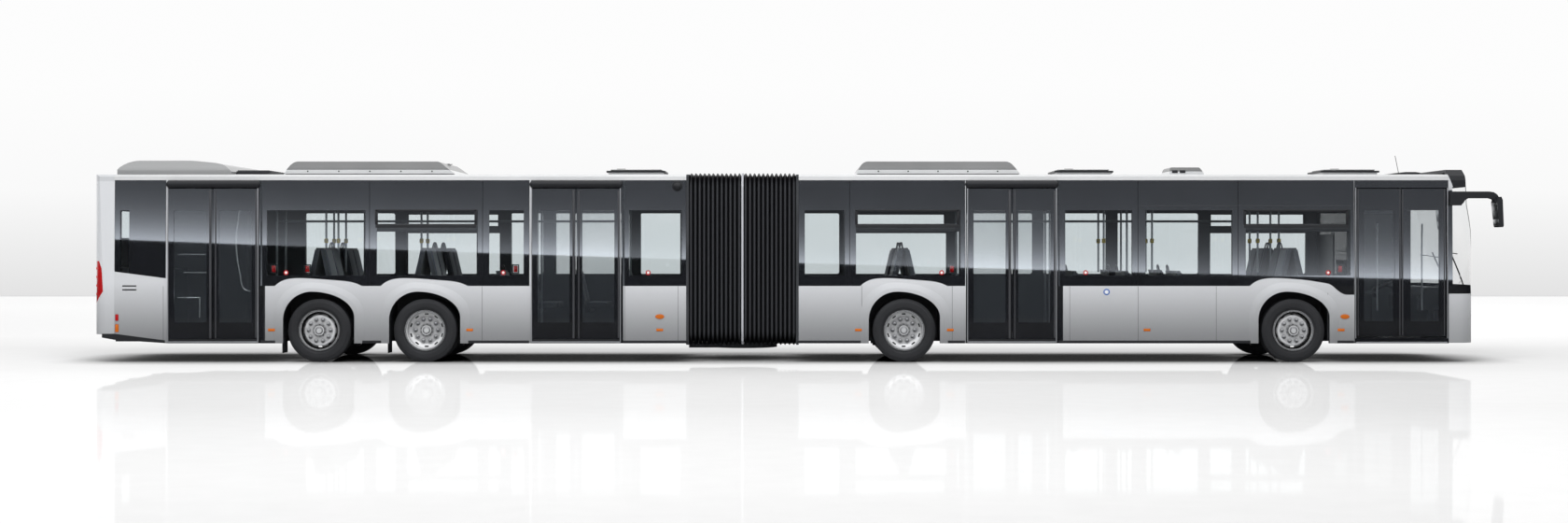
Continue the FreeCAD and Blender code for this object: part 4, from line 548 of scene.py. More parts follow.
# Wheel nuts with washers, hub bolts, the cap's ring and the rim's ring
nut = {"count": 10, "dish": {"wheel": 0.042, "wheels": 0.168},
       # each circle: radius, first step, and its rounds as (distance out, radius, depth, corners, bevel)
       "circles": ((0.1675, 0.5, ((0.003, 0.027, 0.006, 24, 0.0015), (0.014, 0.023, 0.028, 6, 0.002),
                                  (0.032, 0.011, 0.012, 16, 0.002))),
                   (0.094, 0.0, ((0.004, 0.007, 0.01, 6, 0.001),))),
       "cap": ((0.056, 0.046), (0.056, 0.05), (0.044, 0.052), (0.04, 0.046)),
       "rim": ((0.292, 1.2275), (0.304, 1.2275), (0.307, 1.2305), (0.304, 1.2345), (0.292, 1.2345),
               (0.289, 1.231))}
for axle, kind, side, stem in wheels:
    faceY = body["tyreOut"] - nut["dish"][kind]
    x, z = at(body["axles"][axle]), body["tyreRadius"]
    bm = bmesh.new()
    for circle, first, rounds in nut["circles"]:
        for i in range(nut["count"]):
            turn = math.tau * (i + first) / nut["count"]
            for out, *shape in rounds:
                centre = (x + circle * math.sin(turn), side * (faceY + out), z + circle * math.cos(turn))
                addRound(bm, centre, "y", *shape)
    addSpin(bm, [(r, side * (faceY + out)) for r, out in nut["cap"]], (x, 0, z), 48)
    addSpin(bm, [(r, side * y) for r, y in nut["rim"]], (x, 0, z), 72)
    finishPiece(stem + "_nuts", bm, "bright", "%s_%s" % (stem, kind))
print("wheel nuts made")

# Bellows: a folded skin with rounded crests each side of the hoop, between the cars
fold = {"count": 24, "depth": 0.052, "corner": 0.19, "cornerSteps": 5, "low": 0.252, "top": 2.868, "openY": 1.0,
        "crest": 0.28, "crestInset": 0.006, "hoopHalf": 0.0155}


def foldRubberPaintedShade(tree, coords):
    # painted shade: the rubber is painted darker towards the valleys of its folds and lighter on the crests
    x, y, z = separate(tree, coords)
    sideways = maths(tree, "SUBTRACT", body["sideY"], maths(tree, "ABSOLUTE", y))
    depth = maths(tree, "MINIMUM", sideways, maths(tree, "SUBTRACT", fold["top"], z))
    base = ramp(tree, grade(tree, depth, 0.0, fold["depth"]),
                [(0.0, (0.046, 0.048, 0.054)), (0.3, (0.019, 0.02, 0.023)), (0.8, (0.004, 0.004, 0.005))])
    return shader(tree, base, 0.42, 0.0, bump(tree, noise(tree, coords, 120.0), 0.35, 0.0006))


finish["folds"] = material("fold_rubber_painted_shade", foldRubberPaintedShade)


def bellowsLoop(bm, x, inset):
    half, corner = body["sideY"] - inset, fold["corner"]
    low, top = fold["low"] + inset + corner, fold["top"] - inset - corner
    verts = []
    for side, z, start in ((1, low, -90), (1, top, 0), (-1, top, 90), (-1, low, 180)):
        for step in range(fold["cornerSteps"] + 1):
            angle = math.radians(start + 90 * step / fold["cornerSteps"])
            verts.append(bm.verts.new((x, side * (half - corner) + corner * math.cos(angle),
                                       z + corner * math.sin(angle))))
        if start in (-90, 90):
            # three more points up the left side and down the right one
            heights = spread(z, low + top - z, 5)[1:-1]
            verts += [bm.verts.new((x, side * half, height)) for height in heights]
    return [bm.edges.new((a, b)) for a, b in zip(verts, verts[1:] + verts[:1])]


def bellowsPiece(name, side):
    # the folds on one side of the hoop, in front of it or behind it
    bm = bmesh.new()
    near, far = (at(body["pivot"]) + side * reach for reach in (fold["hoopHalf"], body["bellowsHalf"]))
    folds, crest = fold["count"] // 2, fold["crest"] / 2
    start, pitch = min(near, far), abs(far - near) / folds
    shape = ((0.0, fold["depth"]), (0.5 - crest, fold["crestInset"]), (0.5, 0.0),
             (0.5 + crest, fold["crestInset"]))
    loops = [bellowsLoop(bm, start + (i + share) * pitch, inset)
             for i in range(folds) for share, inset in shape]
    loops.append(bellowsLoop(bm, start + folds * pitch, fold["depth"]))
    for one, other in zip(loops, loops[1:]):
        bmesh.ops.bridge_loops(bm, edges=one + other)
    opened = [f for f in bm.faces if f.calc_center_median().z < fold["low"] + 0.1
             and abs(f.calc_center_median().y) < fold["openY"]]
    bmesh.ops.delete(bm, geom=opened, context="FACES")
    piece = finishPiece(name, bm, "folds", None, 0.9)
    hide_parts("bellows")
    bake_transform(piece)


bellowsPiece("bellows_skin_front", 1)
bellowsPiece("bellows_skin_rear", -1)
print("bellows made")

# Trim on the doors that stand in the wall: edge strips, seals, sills, and the fourth door's pole and rails
sideY = body["sideY"]
doorY, railY = sideY + 0.0105, -(sideY - 0.1)
doorRails = {"pole": ((18.80, 2.30), (18.853, 1.78), (18.835, 1.55), (18.80, 1.36), (18.726, 1.10),
                      (18.64, 1.07)),
             "rails": (((19.744, 1.628), (19.32, 1.628)), ((19.65, 1.354), (19.30, 1.354)),
                       ((19.744, 0.972), (19.41, 0.972), (19.41, 0.676)))}
for name, rider in (("door2", "front_car"), ("door3", "rear_car"), ("door4", "rear_car")):
    front, rear = doors[name]
    middle = (front + rear) / 2
    edges = [((s - 0.007, s + 0.007), (doorY - 0.008, doorY + 0.006), (0.315, 2.632), 0.003)
             for s in (front + 0.034, rear - 0.034)]
    smallPiece(name + "_strips", "handle", rider, edges + [
        ((front + 0.03, rear - 0.03), (doorY - 0.009, doorY + 0.012), (0.296, 0.314), 0.003)], sides=right)
    smallPiece(name + "_seals", "seal", rider, [
        ((middle + 0.02, middle + 0.052), (doorY, doorY + 0.012), (0.36, 2.605), 0.004),
        ((middle - 0.052, middle - 0.034), (doorY, doorY + 0.008), (0.36, 2.605), 0.003),
        ((front + 0.05, front + 0.072), (doorY, doorY + 0.007), (0.37, 2.595), 0.003)], sides=right)
    smallPiece(name + "_sill", "trim", rider, [
        ((front + 0.02, rear - 0.02), (doorY - 0.0095, doorY + 0.002), (0.287, 0.294), 0.002),
        ((front + 0.03, rear - 0.03), (doorY - 0.0095, doorY - 0.001), (0.318, 0.345), 0.002)], sides=right)
bars("door4_handles", [[(at(s), railY, z) for s, z in doorRails["pole"]]], 0.014, "bright", "rear_car", True)
bars("door4_rails", [[(at(s), railY + 0.01, z) for s, z in route] for route in doorRails["rails"]], 0.013,
     "bright", "rear_car")

# The front door's leaves: stations of the middle seal, the edge seal and the handle
leafTrim = {"door_1_front_leaf": (1.153, 0.519, 0.833), "door_1_rear_leaf": (1.193, 1.827, 1.513)}
leafY = sideY - 0.02
for name, (seal, edge, handle) in leafTrim.items():
    smallPiece(name + "_seals", "seal", name, [
        ((seal - 0.009, seal + 0.009), (leafY, leafY + 0.007), (0.40, 2.615), 0.003),
        ((edge - 0.008, edge + 0.008), (leafY, leafY + 0.006), (0.40, 2.615), 0.003)], sides=right)
    grip = ((0.075, 2.1), (0.087, 1.9), (0.087, 0.95), (0.075, 0.78))
    route = [(at(handle), inset - leafY, z) for inset, z in grip]
    bars(name + "_handle", [route], 0.013, "handle", name)
smallPiece("door_1_strips", "handle", "front_car", [
    ((s - 0.007, s + 0.007), (sideY - 0.003, sideY + 0.005), (0.36, 2.64), 0.002) for s in (0.478, 1.869)] + [
    ((0.48, 1.865), (sideY - 0.003, sideY + 0.011), (0.29, 0.308), 0.003)], sides=right)
print("door trim made")

# Trim along the sides: skirt strip, seams, hopper frames, lamps and discs
skirt = {"low": 0.284, "high": 0.327, "proud": 0.003, "archHalf": 0.56, "front": 0.458, "rear": 19.88}
cars = {"front_car": (0.0, body["pivot"]), "rear_car": (body["pivot"], 99.0)}


def skirtRuns(side):
    # the stretches of skirt between arches, doors and the bellows
    stops = [(s - skirt["archHalf"], s + skirt["archHalf"]) for s in body["axles"].values()]
    stops.append((body["pivot"] - body["bellowsHalf"] - 0.01, body["pivot"] + body["bellowsHalf"] + 0.01))
    stops = sorted(stops + (list(doors.values()) if side < 0 else [])) + [(skirt["rear"], skirt["rear"])]
    runs, last = [], skirt["front"]
    for front, rear in stops:
        if front > last + 0.05:
            runs.append((last, front))
        last = max(last, rear)
    return runs


for carName, (first, last) in cars.items():
    bm = bmesh.new()
    for side in both:
        for front, rear in skirtRuns(side):
            if first < front < last:
                addSideBox(bm, side, (front + 0.004, rear - 0.004), (sideY - 0.01, sideY + skirt["proud"]),
                           (skirt["low"], skirt["high"]), 0.002)
    finishPiece(carName + "_skirt_strip", bm, "trim", carName)

# Stations of what repeats along each car
along = {
    "front_car": {"seams": (2.29, 3.98, 5.164, 6.2, 9.35, 7.98),
                  "hoppers": (windows["front"][0], windows["front"][4]),
                  "markers": (2.09, 5.03, 8.01, 9.40), "turnLamps": (2.033,), "discs": (2.285, 5.96, 8.14),
                  "hammers": (2.09, 7.98)},
    "rear_car": {"seams": (12.133, 12.94, 15.1, 18.4, 19.93), "hoppers": (windows["rear"][3],),
                 "markers": (12.41, 15.29, 18.29), "turnLamps": (12.41,), "discs": (12.585, 14.78, 18.07),
                 "hammers": (14.6, 17.76, 18.27)},
}
seam = {"half": 0.0025, "top": 1.15, "shortS": 2.29, "shortTop": 1.05, "radius": 0.0032, "sunk": 0.001}
hopper = {"barZ": 1.975, "low": 2.095, "high": 2.3, "across": (skinY(2.1) - 0.021, skinY(2.1) + 0.001)}


def hopperBoxes(front, rear):
    upright = (hopper["across"], (hopper["low"] - 0.02, hopper["high"] + 0.01), 0.006)
    return [((front - 0.01, rear + 0.01), hopper["across"], (hopper["barZ"], hopper["low"]), 0.012),
            ((rear - 0.035, rear + 0.01), *upright), ((front - 0.01, front + 0.035), *upright),
            ((front, rear), hopper["across"], (hopper["high"] - 0.022, hopper["high"] + 0.012), 0.006)]


for carName, places in along.items():
    smallPiece(carName + "_seams", "seam", carName, [
        ((s - seam["half"], s + seam["half"]), (sideY - 0.004, sideY + 0.0006),
         (skirt["high"], seam["shortTop"] if s == seam["shortS"] else seam["top"])) for s in places["seams"]])
    smallPiece(carName + "_hoppers", "trim", carName,
               [box for span in places["hoppers"] for box in hopperBoxes(*span)])
print("side trim made")

marker = {"half": 0.052, "heights": (0.468, 0.508)}
turnLamp = {"radius": 0.036, "stretch": 1.9, "z": 0.69}
# a disc's ring: radius, and distance out of the wall
disc = {"z": 1.355, "radius": 0.037, "ring": ((0.021, 0.0015), (0.037, 0.0015), (0.037, 0.003), (0.021, 0.003))}
# a hammer frame's bars: middle along and up, half length and half height
hammer = {"half": 0.03, "heights": (1.36, 1.46), "z": 1.41,
          "bars": ((-0.046, 0, 0.009, 0.068), (0.046, 0, 0.009, 0.068), (0, -0.062, 0.055, 0.009),
                   (0, 0.062, 0.055, 0.009))}
button = {"s": 5.642, "z": 1.062}
for carName, places in along.items():
    smallPiece(carName + "_markers", "amber", carName, [
        ((s - marker["half"], s + marker["half"]), (sideY - 0.002, sideY + 0.009), marker["heights"], 0.006)
        for s in places["markers"]])
    bm = bmesh.new()
    for side in both:
        for s in places["turnLamps"]:
            made = addRound(bm, (0, 0, 0), "y", turnLamp["radius"], 0.016, 32, 0.004)
            bmesh.ops.scale(bm, vec=(turnLamp["stretch"], 1, 1), verts=made)
            bmesh.ops.translate(bm, vec=(at(s), side * (sideY + 0.004), turnLamp["z"]), verts=made)
    finishPiece(carName + "_turn_lamps", bm, "amber", carName)
    smallPiece(carName + "_discs", "pale", carName, rounds=[
        ((at(s), 0.0005 - sideY, disc["z"]), "y", disc["radius"], 0.004, 40, 0.001) for s in places["discs"]])
    bm = bmesh.new()
    for s in places["discs"]:
        addSpin(bm, [(radius, -(sideY + out)) for radius, out in disc["ring"]], (at(s), 0, disc["z"]), 40)
    finishPiece(carName + "_disc_rings", bm, "red", carName)
    smallPiece(carName + "_hammer_boxes", "red", carName, [
        ((s - hammer["half"], s + hammer["half"]), (sideY - 0.075, sideY - 0.045), hammer["heights"], 0.008)
        for s in places["hammers"]], sides=right)
    smallPiece(carName + "_hammer_frames", "trim", carName, [
        ((s + shift - half, s + shift + half), (sideY - 0.07, sideY - 0.036),
         (hammer["z"] + up - high, hammer["z"] + up + high), 0.007)
        for s in places["hammers"] for shift, up, half, high in hammer["bars"]], sides=right)
for ending, key, proud, radius in (("", "blue", 0.001, 0.048), ("_face", "pale", 0.004, 0.03)):
    smallPiece("front_car_call_button" + ending, key, "front_car", rounds=[
        ((at(button["s"]), -(sideY + proud), button["z"]), "y", radius, 0.006, 40, 0.002)])
print("lamps and discs made")

# Seats: padded cushions and backs on the plain shells, with loop handles at their aisle corners
seat = {"width": 0.43, "depth": 0.43, "back": 0.56, "lean": 0.13, "pad": 0.036, "crown": 0.4, "pull": 0.018,
        "spacing": 0.44, "outer": 1.178, "high": 1.17, "low": body["floorZ"] + 0.45, "overGap": 0.1303,
        "rowGap": 0.79, "fill": 0.6, "frontRow": 4.438, "rearRow": 12.972, "lastRow": 14.779,
        "handleRadius": 0.011,
        # a handle's points from the back's top aisle corner: ahead, towards the wall, and up
        "handle": ((0.004, 0.03, -0.05), (-0.015, 0.03, 0.045), (-0.02, 0.06, 0.075), (-0.02, 0.12, 0.075),
                   (-0.015, 0.15, 0.045), (0.004, 0.15, -0.05))}


def addPad(bm, size, turn, place):
    # a pad that swells in the middle and draws in along its sides
    pad = bmesh.new()
    bmesh.ops.create_cube(pad, size=1.0)
    bmesh.ops.subdivide_edges(pad, edges=pad.edges[:], cuts=5, use_grid_fill=True)
    for vert in pad.verts:
        x, y, z = vert.co
        fullness = 1 - seat["crown"] * max(abs(2 * x), abs(2 * y)) ** 4
        vert.co = (x * (size[0] - seat["pull"] * (1 - 4 * y * y)),
                   y * (size[1] - seat["pull"] * (1 - 4 * x * x)), z * size[2] * fullness)
    bmesh.ops.rotate(pad, cent=(0, 0, 0), matrix=turn, verts=pad.verts[:])
    bmesh.ops.translate(pad, vec=place, verts=pad.verts[:])
    mesh = bpy.data.meshes.new("pad")
    pad.to_mesh(mesh)
    pad.free()
    bm.from_mesh(mesh)
    bpy.data.meshes.remove(mesh)


def seatDressing(carName, rows):
    # each row is (station of the back's foot, facing, height of the cushion, sides)
    bm = bmesh.new()
    loops = []
    slant = math.atan(seat["lean"] / seat["back"])
    for station, facing, cushionZ, sides in rows:
        x = at(station)
        for side in sides:
            for place in (0.5, 1.5):
                middle = side * (seat["outer"] - place * seat["spacing"])
                addPad(bm, (seat["depth"] - 0.10, seat["width"] - 0.03, seat["pad"] * 1.6), axisTurn["z"],
                       (x + facing * 0.25, middle, cushionZ + 0.02))
                turn = Matrix.Rotation(facing * (math.pi / 2 - slant), 3, "Y")
                addPad(bm, (seat["back"] - 0.08, seat["width"] - 0.03, seat["pad"] * 1.4), turn,
                       (x + facing * (0.062 - seat["lean"] * 0.54), middle, cushionZ + seat["back"] * 0.53))
            inner = side * (seat["outer"] - 2 * seat["spacing"])
            topX, topZ = x - facing * (seat["lean"] - 0.03), cushionZ + seat["back"]
            loops.append([(topX + facing * ahead, inner + side * outward, topZ + up)
                          for ahead, outward, up in seat["handle"]])
    pads = finishPiece(carName + "_seat_pads", bm, "fabric", carName)
    bars(carName + "_seat_handles", loops, seat["handleRadius"], "trim", carName, True)


def overAxles(*names):
    # rows back to back on the wheel housings
    return [(body["axles"][name] - facing * seat["overGap"], facing, seat["high"], both)
            for name in names for facing in (1, -1)]


def behind(station, count, sides):
    return [(station + seat["rowGap"] * i, 1, seat["low"], sides) for i in range(count)]


seatDressing("front_car", overAxles("front", "second") + behind(seat["frontRow"], 3, both))
seatDressing("rear_car", overAxles("third", "fourth") + behind(seat["rearRow"], 3, left)
             + behind(seat["lastRow"], 1, right))

poles = {"radius": 0.0165, "aisleY": 0.27, "low": 1.35, "high": 2.79, "knobZ": 1.842, "knob": 0.031,
         "front_car": (2.785, 3.116, 4.77, 5.525), "rear_car": (16.2, 17.5, 17.69)}
for carName in cars:
    feet = [(at(s), side * poles["aisleY"]) for s in poles[carName] for side in both]
    bars(carName + "_poles", [[(x, y, poles["low"]), (x, y, poles["high"])] for x, y in feet], poles["radius"],
         "rail", carName)
    smallPiece(carName + "_pole_knobs", "yellow", carName, rounds=[
        ((x, y, poles["knobZ"]), "z", poles["knob"], 0.075, 24, 0.016) for x, y in feet])
print("seats and poles made")

# Roof: gaskets, side trim and fan guards of the coolers, louvres, hatch panes, the wedge and the aerial
cooler = {"front_car": (6.90, 9.436), "rear_car": (15.552, 18.196), "halfY": 0.91, "baseZ": 2.862}
fan = {"count": 3, "radius": 0.235, "z": 3.05, "wire": 0.0035, "rings": (0.35, 0.6, 0.85), "spokes": 6}
for carName in cars:
    front, rear = cooler[carName]
    smallPiece(carName + "_cooler_gasket", "trim", carName, [
        ((front + 0.03, rear - 0.03), (cooler["halfY"] - 0.03, cooler["halfY"] + 0.012),
         (cooler["baseZ"] - 0.014, cooler["baseZ"] + 0.004), 0.004)], [
        ((at(front + (rear - front) * share), side * (cooler["halfY"] + 0.001), cooler["baseZ"] + 0.042),
         "y", 0.011, 0.012, 16, 0.002) for side in both for share in spread(0.14, 0.86, 5)])
    # wire rings and spokes over each fan well
    routes = []
    for i in range(fan["count"]):
        x = at(front + (rear - front) * (i + 0.5) / fan["count"])
        for ring in fan["rings"]:
            radius = fan["radius"] * ring
            routes.append([(x + radius * math.cos(turn), radius * math.sin(turn), fan["z"])
                           for turn in spread(0, math.tau, 25)])
        for k in range(fan["spokes"]):
            dx, dy = (fan["radius"] * wave(math.pi * k / fan["spokes"]) for wave in (math.cos, math.sin))
            routes.append([(x - dx, -dy, fan["z"]), (x + dx, dy, fan["z"])])
    bars(carName + "_fan_guards", routes, fan["wire"], "trim", carName)

louvre = {"front": 18.387, "rear": 18.939, "halfY": 0.86, "baseZ": 2.866, "topZ": 2.922, "fins": 13}
smallPiece("roof_louvres", "trim", "rear_car", [
    ((louvre["front"] + 0.03, louvre["rear"] - 0.002), (-louvre["halfY"], louvre["halfY"]),
     (louvre["baseZ"] - 0.02, louvre["topZ"] - 0.016), 0.008)] + [
    ((louvre["front"] + 0.05, louvre["rear"] - 0.01), (y - 0.012, y + 0.012),
     (louvre["topZ"] - 0.03, louvre["topZ"]), 0.004)
    for y in spread(0.06 - louvre["halfY"], louvre["halfY"] - 0.06, louvre["fins"])], sides=once)
ventLouvre = {"stations": (4.30, 4.42), "half": 0.045, "across": (0.285, 0.318), "heights": (2.90, 2.945)}
smallPiece("vent_louvres", "trim", "front_car", [
    ((s - ventLouvre["half"], s + ventLouvre["half"]), ventLouvre["across"], ventLouvre["heights"], 0.006)
    for s in ventLouvre["stations"]])

hatch = {"stations": (1.705, 5.853, 12.838), "halfL": 0.40, "halfW": 0.355, "lowZ": 2.944, "topZ": 2.960}
for number, s in enumerate(hatch["stations"], 1):
    rider = "roof_hatch_%d" % number
    smallPiece("hatch_pane_%d" % number, "hatchPane", rider, [
        ((s - hatch["halfL"], s + hatch["halfL"]), (-hatch["halfW"], hatch["halfW"]),
         (hatch["lowZ"] - 0.004, hatch["topZ"]), 0.011, 3)], sides=once)
    smallPiece("hatch_latches_%d" % number, "trim", rider, [
        ((s + 0.16, s + 0.30), (0.31, 0.35), (hatch["lowZ"], hatch["topZ"] + 0.006), 0.006)])

# The dark wedge behind the hood, and the aerial on its foot
wedge = {"half": 0.46, "bevel": 0.012,
         "points": ((1.13, 2.868), (0.66, 2.868), (0.62, 2.90), (0.70, 2.912), (0.86, 2.912), (1.05, 2.892))}
bm = bmesh.new()
addOutline(bm, wedge["points"], -wedge["half"], 2 * wedge["half"])
rims = [edge for edge in bm.edges if abs(edge.verts[0].co.y - edge.verts[1].co.y) < 0.01]
bmesh.ops.bevel(bm, geom=rims, offset=wedge["bevel"], segments=2, profile=0.5, affect="EDGES", material=-1)
finishPiece("roof_wedge", bm, "trim", "front_car")
aerial = {"s": 1.02, "y": -0.62, "baseZ": 2.862, "tipS": 1.075, "tipZ": 3.155, "radius": 0.0042}
bars("aerial", [[(at(aerial["s"]), aerial["y"], aerial["baseZ"] + 0.02),
                 (at(aerial["tipS"]), aerial["y"], aerial["tipZ"])]], aerial["radius"], "trim", "front_car")
smallPiece("aerial_foot", "trim", "front_car", rounds=[
    ((at(aerial["s"]), aerial["y"], aerial["baseZ"] + 0.014), "z", 0.026, 0.04, 24, 0.006, 0.014)])
print("roof pieces made")


# The faces that front and rear trim sits on are found by casting a ray at the frame's own surfaces
def surface(names, towards):
    trees = [BVHTree.FromObject(nodes[name], bpy.context.evaluated_depsgraph_get()) for name in names]

    def reach(y, z):
        start = Vector((12.5 * towards, y, z))
        hits = [tree.ray_cast(start, Vector((-towards, 0, 0))) for tree in trees]
        spots = [hit[0].x for hit in hits if hit[0] is not None]
        return max(spots) if towards > 0 else min(spots)
    return reach


frontFace = surface(["front_mask", "windscreen", "headlamps"], 1)
rearFace = surface(["rear_end", "engine_lid", "rear_glass", "tail_lamps"], -1)


def lying(face, points, ahead):
    return [(face(y, z) + ahead, y, z) for y, z in points]


# Seams of the bumper, of the flap over it, and across the rear end: half width, and heights
bumper = {"half": 1.2, "z": 0.70, "droop": 0.05, "flapY": 0.66, "flapLow": 0.69, "flapZ": 1.02}
tailSeam = {"half": 1.2, "highZ": 2.69, "cornerY": 0.88, "cornerZ": 1.0}
across = spread(-bumper["half"], bumper["half"], 41)
frontSeams = [[(y, bumper["z"] - bumper["droop"] * (y / bumper["half"]) ** 2) for y in across],
              [(y, bumper["flapZ"]) for y in across]]
frontSeams += [[(side * bumper["flapY"], z) for z in spread(bumper["flapLow"], bumper["flapZ"], 9)]
               for side in both]
rearSeams = [[(y, tailSeam["highZ"]) for y in spread(-tailSeam["half"], tailSeam["half"], 31)]]
rearSeams += [[(side * y, tailSeam["cornerZ"]) for y in spread(tailSeam["cornerY"], tailSeam["half"], 9)]
              for side in both]
bars("front_seams", [lying(frontFace, route, -seam["sunk"]) for route in frontSeams], seam["radius"], "seam",
     "front_car")
bars("rear_seams", [lying(rearFace, route, seam["sunk"]) for route in rearSeams], seam["radius"], "seam",
     "rear_car")

# Wipers: two arms with their blades, lying on the screen
wiper = {"pivots": (-0.62, 0.18), "pivotZ": 1.045, "tips": ((0.02, 1.72), (0.84, 1.66)), "armRadius": 0.011,
         "bladeRadius": 0.0075, "bladeHalf": 0.42, "bladeDrop": 0.06, "bladeTilt": 0.05, "armOut": 0.034,
         "bladeOut": 0.012}
arms, blades = [], []
for pivotY, (tipY, tipZ) in zip(wiper["pivots"], wiper["tips"]):
    path = zip(spread(pivotY, tipY, 8), spread(wiper["pivotZ"], tipZ, 8))
    arms.append(lying(frontFace, path, wiper["armOut"]))
    reach = spread(-wiper["bladeHalf"], wiper["bladeHalf"] * 0.8, 13)
    blade = [(tipY + dy, tipZ - wiper["bladeDrop"] + wiper["bladeTilt"] * dy) for dy in reach]
    blades.append(lying(frontFace, blade, wiper["bladeOut"]))
bars("wiper_arms", arms, wiper["armRadius"], "trim", "front_car")
bars("wiper_blades", blades, wiper["bladeRadius"], "trim", "front_car")
smallPiece("wiper_pivots", "trim", "front_car", rounds=[
    ((frontFace(y, wiper["pivotZ"]) + 0.016, y, wiper["pivotZ"]), "x", 0.03, 0.05, 32, 0.006)
    for y in wiper["pivots"]])

# Mirror glass: two panes lying on each head's sloping rear face
mirror = {"topX": 10.554, "topZ": 2.42, "lowX": 10.593, "lowZ": 2.058, "half": 0.003, "sunk": 0.001,
          "panes": ((2.067, 2.165), (2.172, 2.412)), "across": (1.171, 1.409)}
slope = (mirror["topX"] - mirror["lowX"]) / (mirror["topZ"] - mirror["lowZ"])
bm = bmesh.new()
for side in both:
    y0, y1 = sorted(side * y for y in mirror["across"])
    for low, high in mirror["panes"]:
        x = mirror["lowX"] + slope * ((low + high) / 2 - mirror["lowZ"]) - mirror["sunk"]
        addBox(bm, (x - mirror["half"], y0, low), (x + mirror["half"], y1, high), 0.0015, 2,
               Matrix.Rotation(math.atan(slope), 3, "Y"))
finishPiece("mirror_glass", bm, "mirrorGlass", "front_car")

# Headlamps: two ringed projectors on each lens
projector = {"z": 0.70, "ys": (0.83, 0.975), "radius": 0.06, "ring": 0.014, "hollow": 0.005, "eye": 0.034}
spots = [(side * y, projector["z"]) for side in both for y in projector["ys"]]
bm = bmesh.new()
for place in lying(frontFace, spots, 0.002):
    addRound(bm, (0, 0, 0), "x", projector["radius"], 0.014, 40, 0.004)
    faces = [f for f in bm.faces if len(f.verts) > 20 and f.calc_center_median().length < 0.05]
    bmesh.ops.inset_individual(bm, faces=faces, thickness=projector["ring"], depth=-projector["hollow"])
    bmesh.ops.translate(bm, vec=place, verts=[v for v in bm.verts if v.co.length < 0.12])
finishPiece("headlamp_rings", bm, "bright", "front_car")
smallPiece("headlamp_eyes", "eye", "front_car", rounds=[
    (place, "x", projector["eye"], 0.014, 32, 0.006) for place in lying(frontFace, spots, 0.006)])

# Blank plates front and rear, and tail details
plate = {"halfY": 0.26, "halfZ": 0.055, "sunk": 0.002, "proud": 0.008}
for name, face, towards, z in (("front", frontFace, 1, 0.45), ("rear", rearFace, -1, 0.50)):
    x0, x1 = sorted(face(0, z) + towards * out for out in (-plate["sunk"], plate["proud"]))
    bm = bmesh.new()
    addBox(bm, (x0, -plate["halfY"], z - plate["halfZ"]), (x1, plate["halfY"], z + plate["halfZ"]), 0.003)
    finishPiece(name + "_plate", bm, "pale", name + "_car")

tail = {"rows": (1.03, 1.16, 1.29, 1.42), "y": 1.155, "radius": 0.022, "lampS": 20.632, "handleZ": 1.30}
smallPiece("tail_lamp_eyes", "redBright", "rear_car", rounds=[
    (place, "x", tail["radius"], 0.012, 32, 0.001)
    for place in lying(rearFace, [(side * tail["y"], z) for side in both for z in tail["rows"]], 0.007)])
for name, key, half, heights in (("rear_reflectors", "red", 0.024, (0.625, 0.725)),
                                 ("rear_side_lamps", "amber", 0.026, (0.455, 0.575))):
    smallPiece(name, key, "rear_car", [
        ((tail["lampS"] - half, tail["lampS"] + half), (sideY - 0.004, sideY + 0.006), heights, 0.01, 3)])
lidX = rearFace(0, tail["handleZ"])
grip = ((0.004, -0.16), (0.034, -0.14), (0.034, 0.14), (0.004, 0.16))
bars("lid_handle", [[(lidX - out, y, tail["handleZ"]) for out, y in grip]], 0.009, "trim", "engine_lid")

# Mudflaps, the blank side sign's back, the seam over the windows and the camera bubble
flap = {"stations": (16.535, 18.135), "thick": 0.008, "across": (0.93, 1.235), "heights": (0.135, 0.40)}
smallPiece("rear_mudflaps", "rubber", "rear_car", [
    ((s - flap["thick"], s), flap["across"], flap["heights"], 0.002) for s in flap["stations"]])
sign = {"stations": (2.02, 3.62), "across": (1.02, sideY - 0.04), "heights": (2.40, 2.70)}
smallPiece("side_sign_backs", "trim", "front_car", [(*sign.values(), 0.006)])
glassSeam = {"stations": (1.893, 5.16), "z": 2.37, "half": 0.0025, "depth": 0.0034, "proud": 0.0006}
y = skinY(glassSeam["z"])
smallPiece("glass_seams", "seam", "front_car", [
    (glassSeam["stations"], (y - glassSeam["depth"], y + glassSeam["proud"]),
     (glassSeam["z"] - glassSeam["half"], glassSeam["z"] + glassSeam["half"]))])
bubble = {"s": 12.145, "z": 2.66, "radius": 0.062, "flat": 0.75, "foot": 0.078}
place = (at(bubble["s"]), -(skinY(bubble["z"]) + 0.004), bubble["z"])
bm = bmesh.new()
made = bmesh.ops.create_uvsphere(bm, u_segments=32, v_segments=20, radius=bubble["radius"])["verts"]
bmesh.ops.scale(bm, vec=(1, bubble["flat"], 1), verts=made)
bmesh.ops.translate(bm, vec=place, verts=made)
addRound(bm, (place[0], place[1], place[2] + 0.005), "y", bubble["foot"], 0.022, 40, 0.005)
finishPiece("camera_bubble", bm, "trim", "rear_car")

# The dark edge under the tail, sloping up from the fourth door
valance = {"y": 1.2575, "depth": 0.007,
           "points": ((20.86, 0.43), (20.672, 0.43), (19.905, 0.33), (19.905, 0.288), (20.672, 0.338),
                      (20.86, 0.372))}
bm = bmesh.new()
for side in both:
    addOutline(bm, valance["points"], side * valance["y"], side * valance["depth"])
finishPiece("tail_valance", bm, "trim", "rear_car")
print("front and rear pieces made")

# Camera, light, floor and backdrop
view = {"place": (-0.1905, -31.26, 1.665), "lens": 45.47, "sensor": 36, "shift": -10 / 1680, "far": 400}
camera = bpy.data.cameras.new("camera")
camera.lens = view["lens"]
camera.sensor_width = view["sensor"]
camera.shift_y = view["shift"]
camera.clip_end = view["far"]
cameraObject = bpy.data.objects.new("camera", camera)
cameraObject.location = view["place"]
cameraObject.rotation_euler = (math.pi / 2, 0, 0)
scene.collection.objects.link(cameraObject)
scene.camera = cameraObject
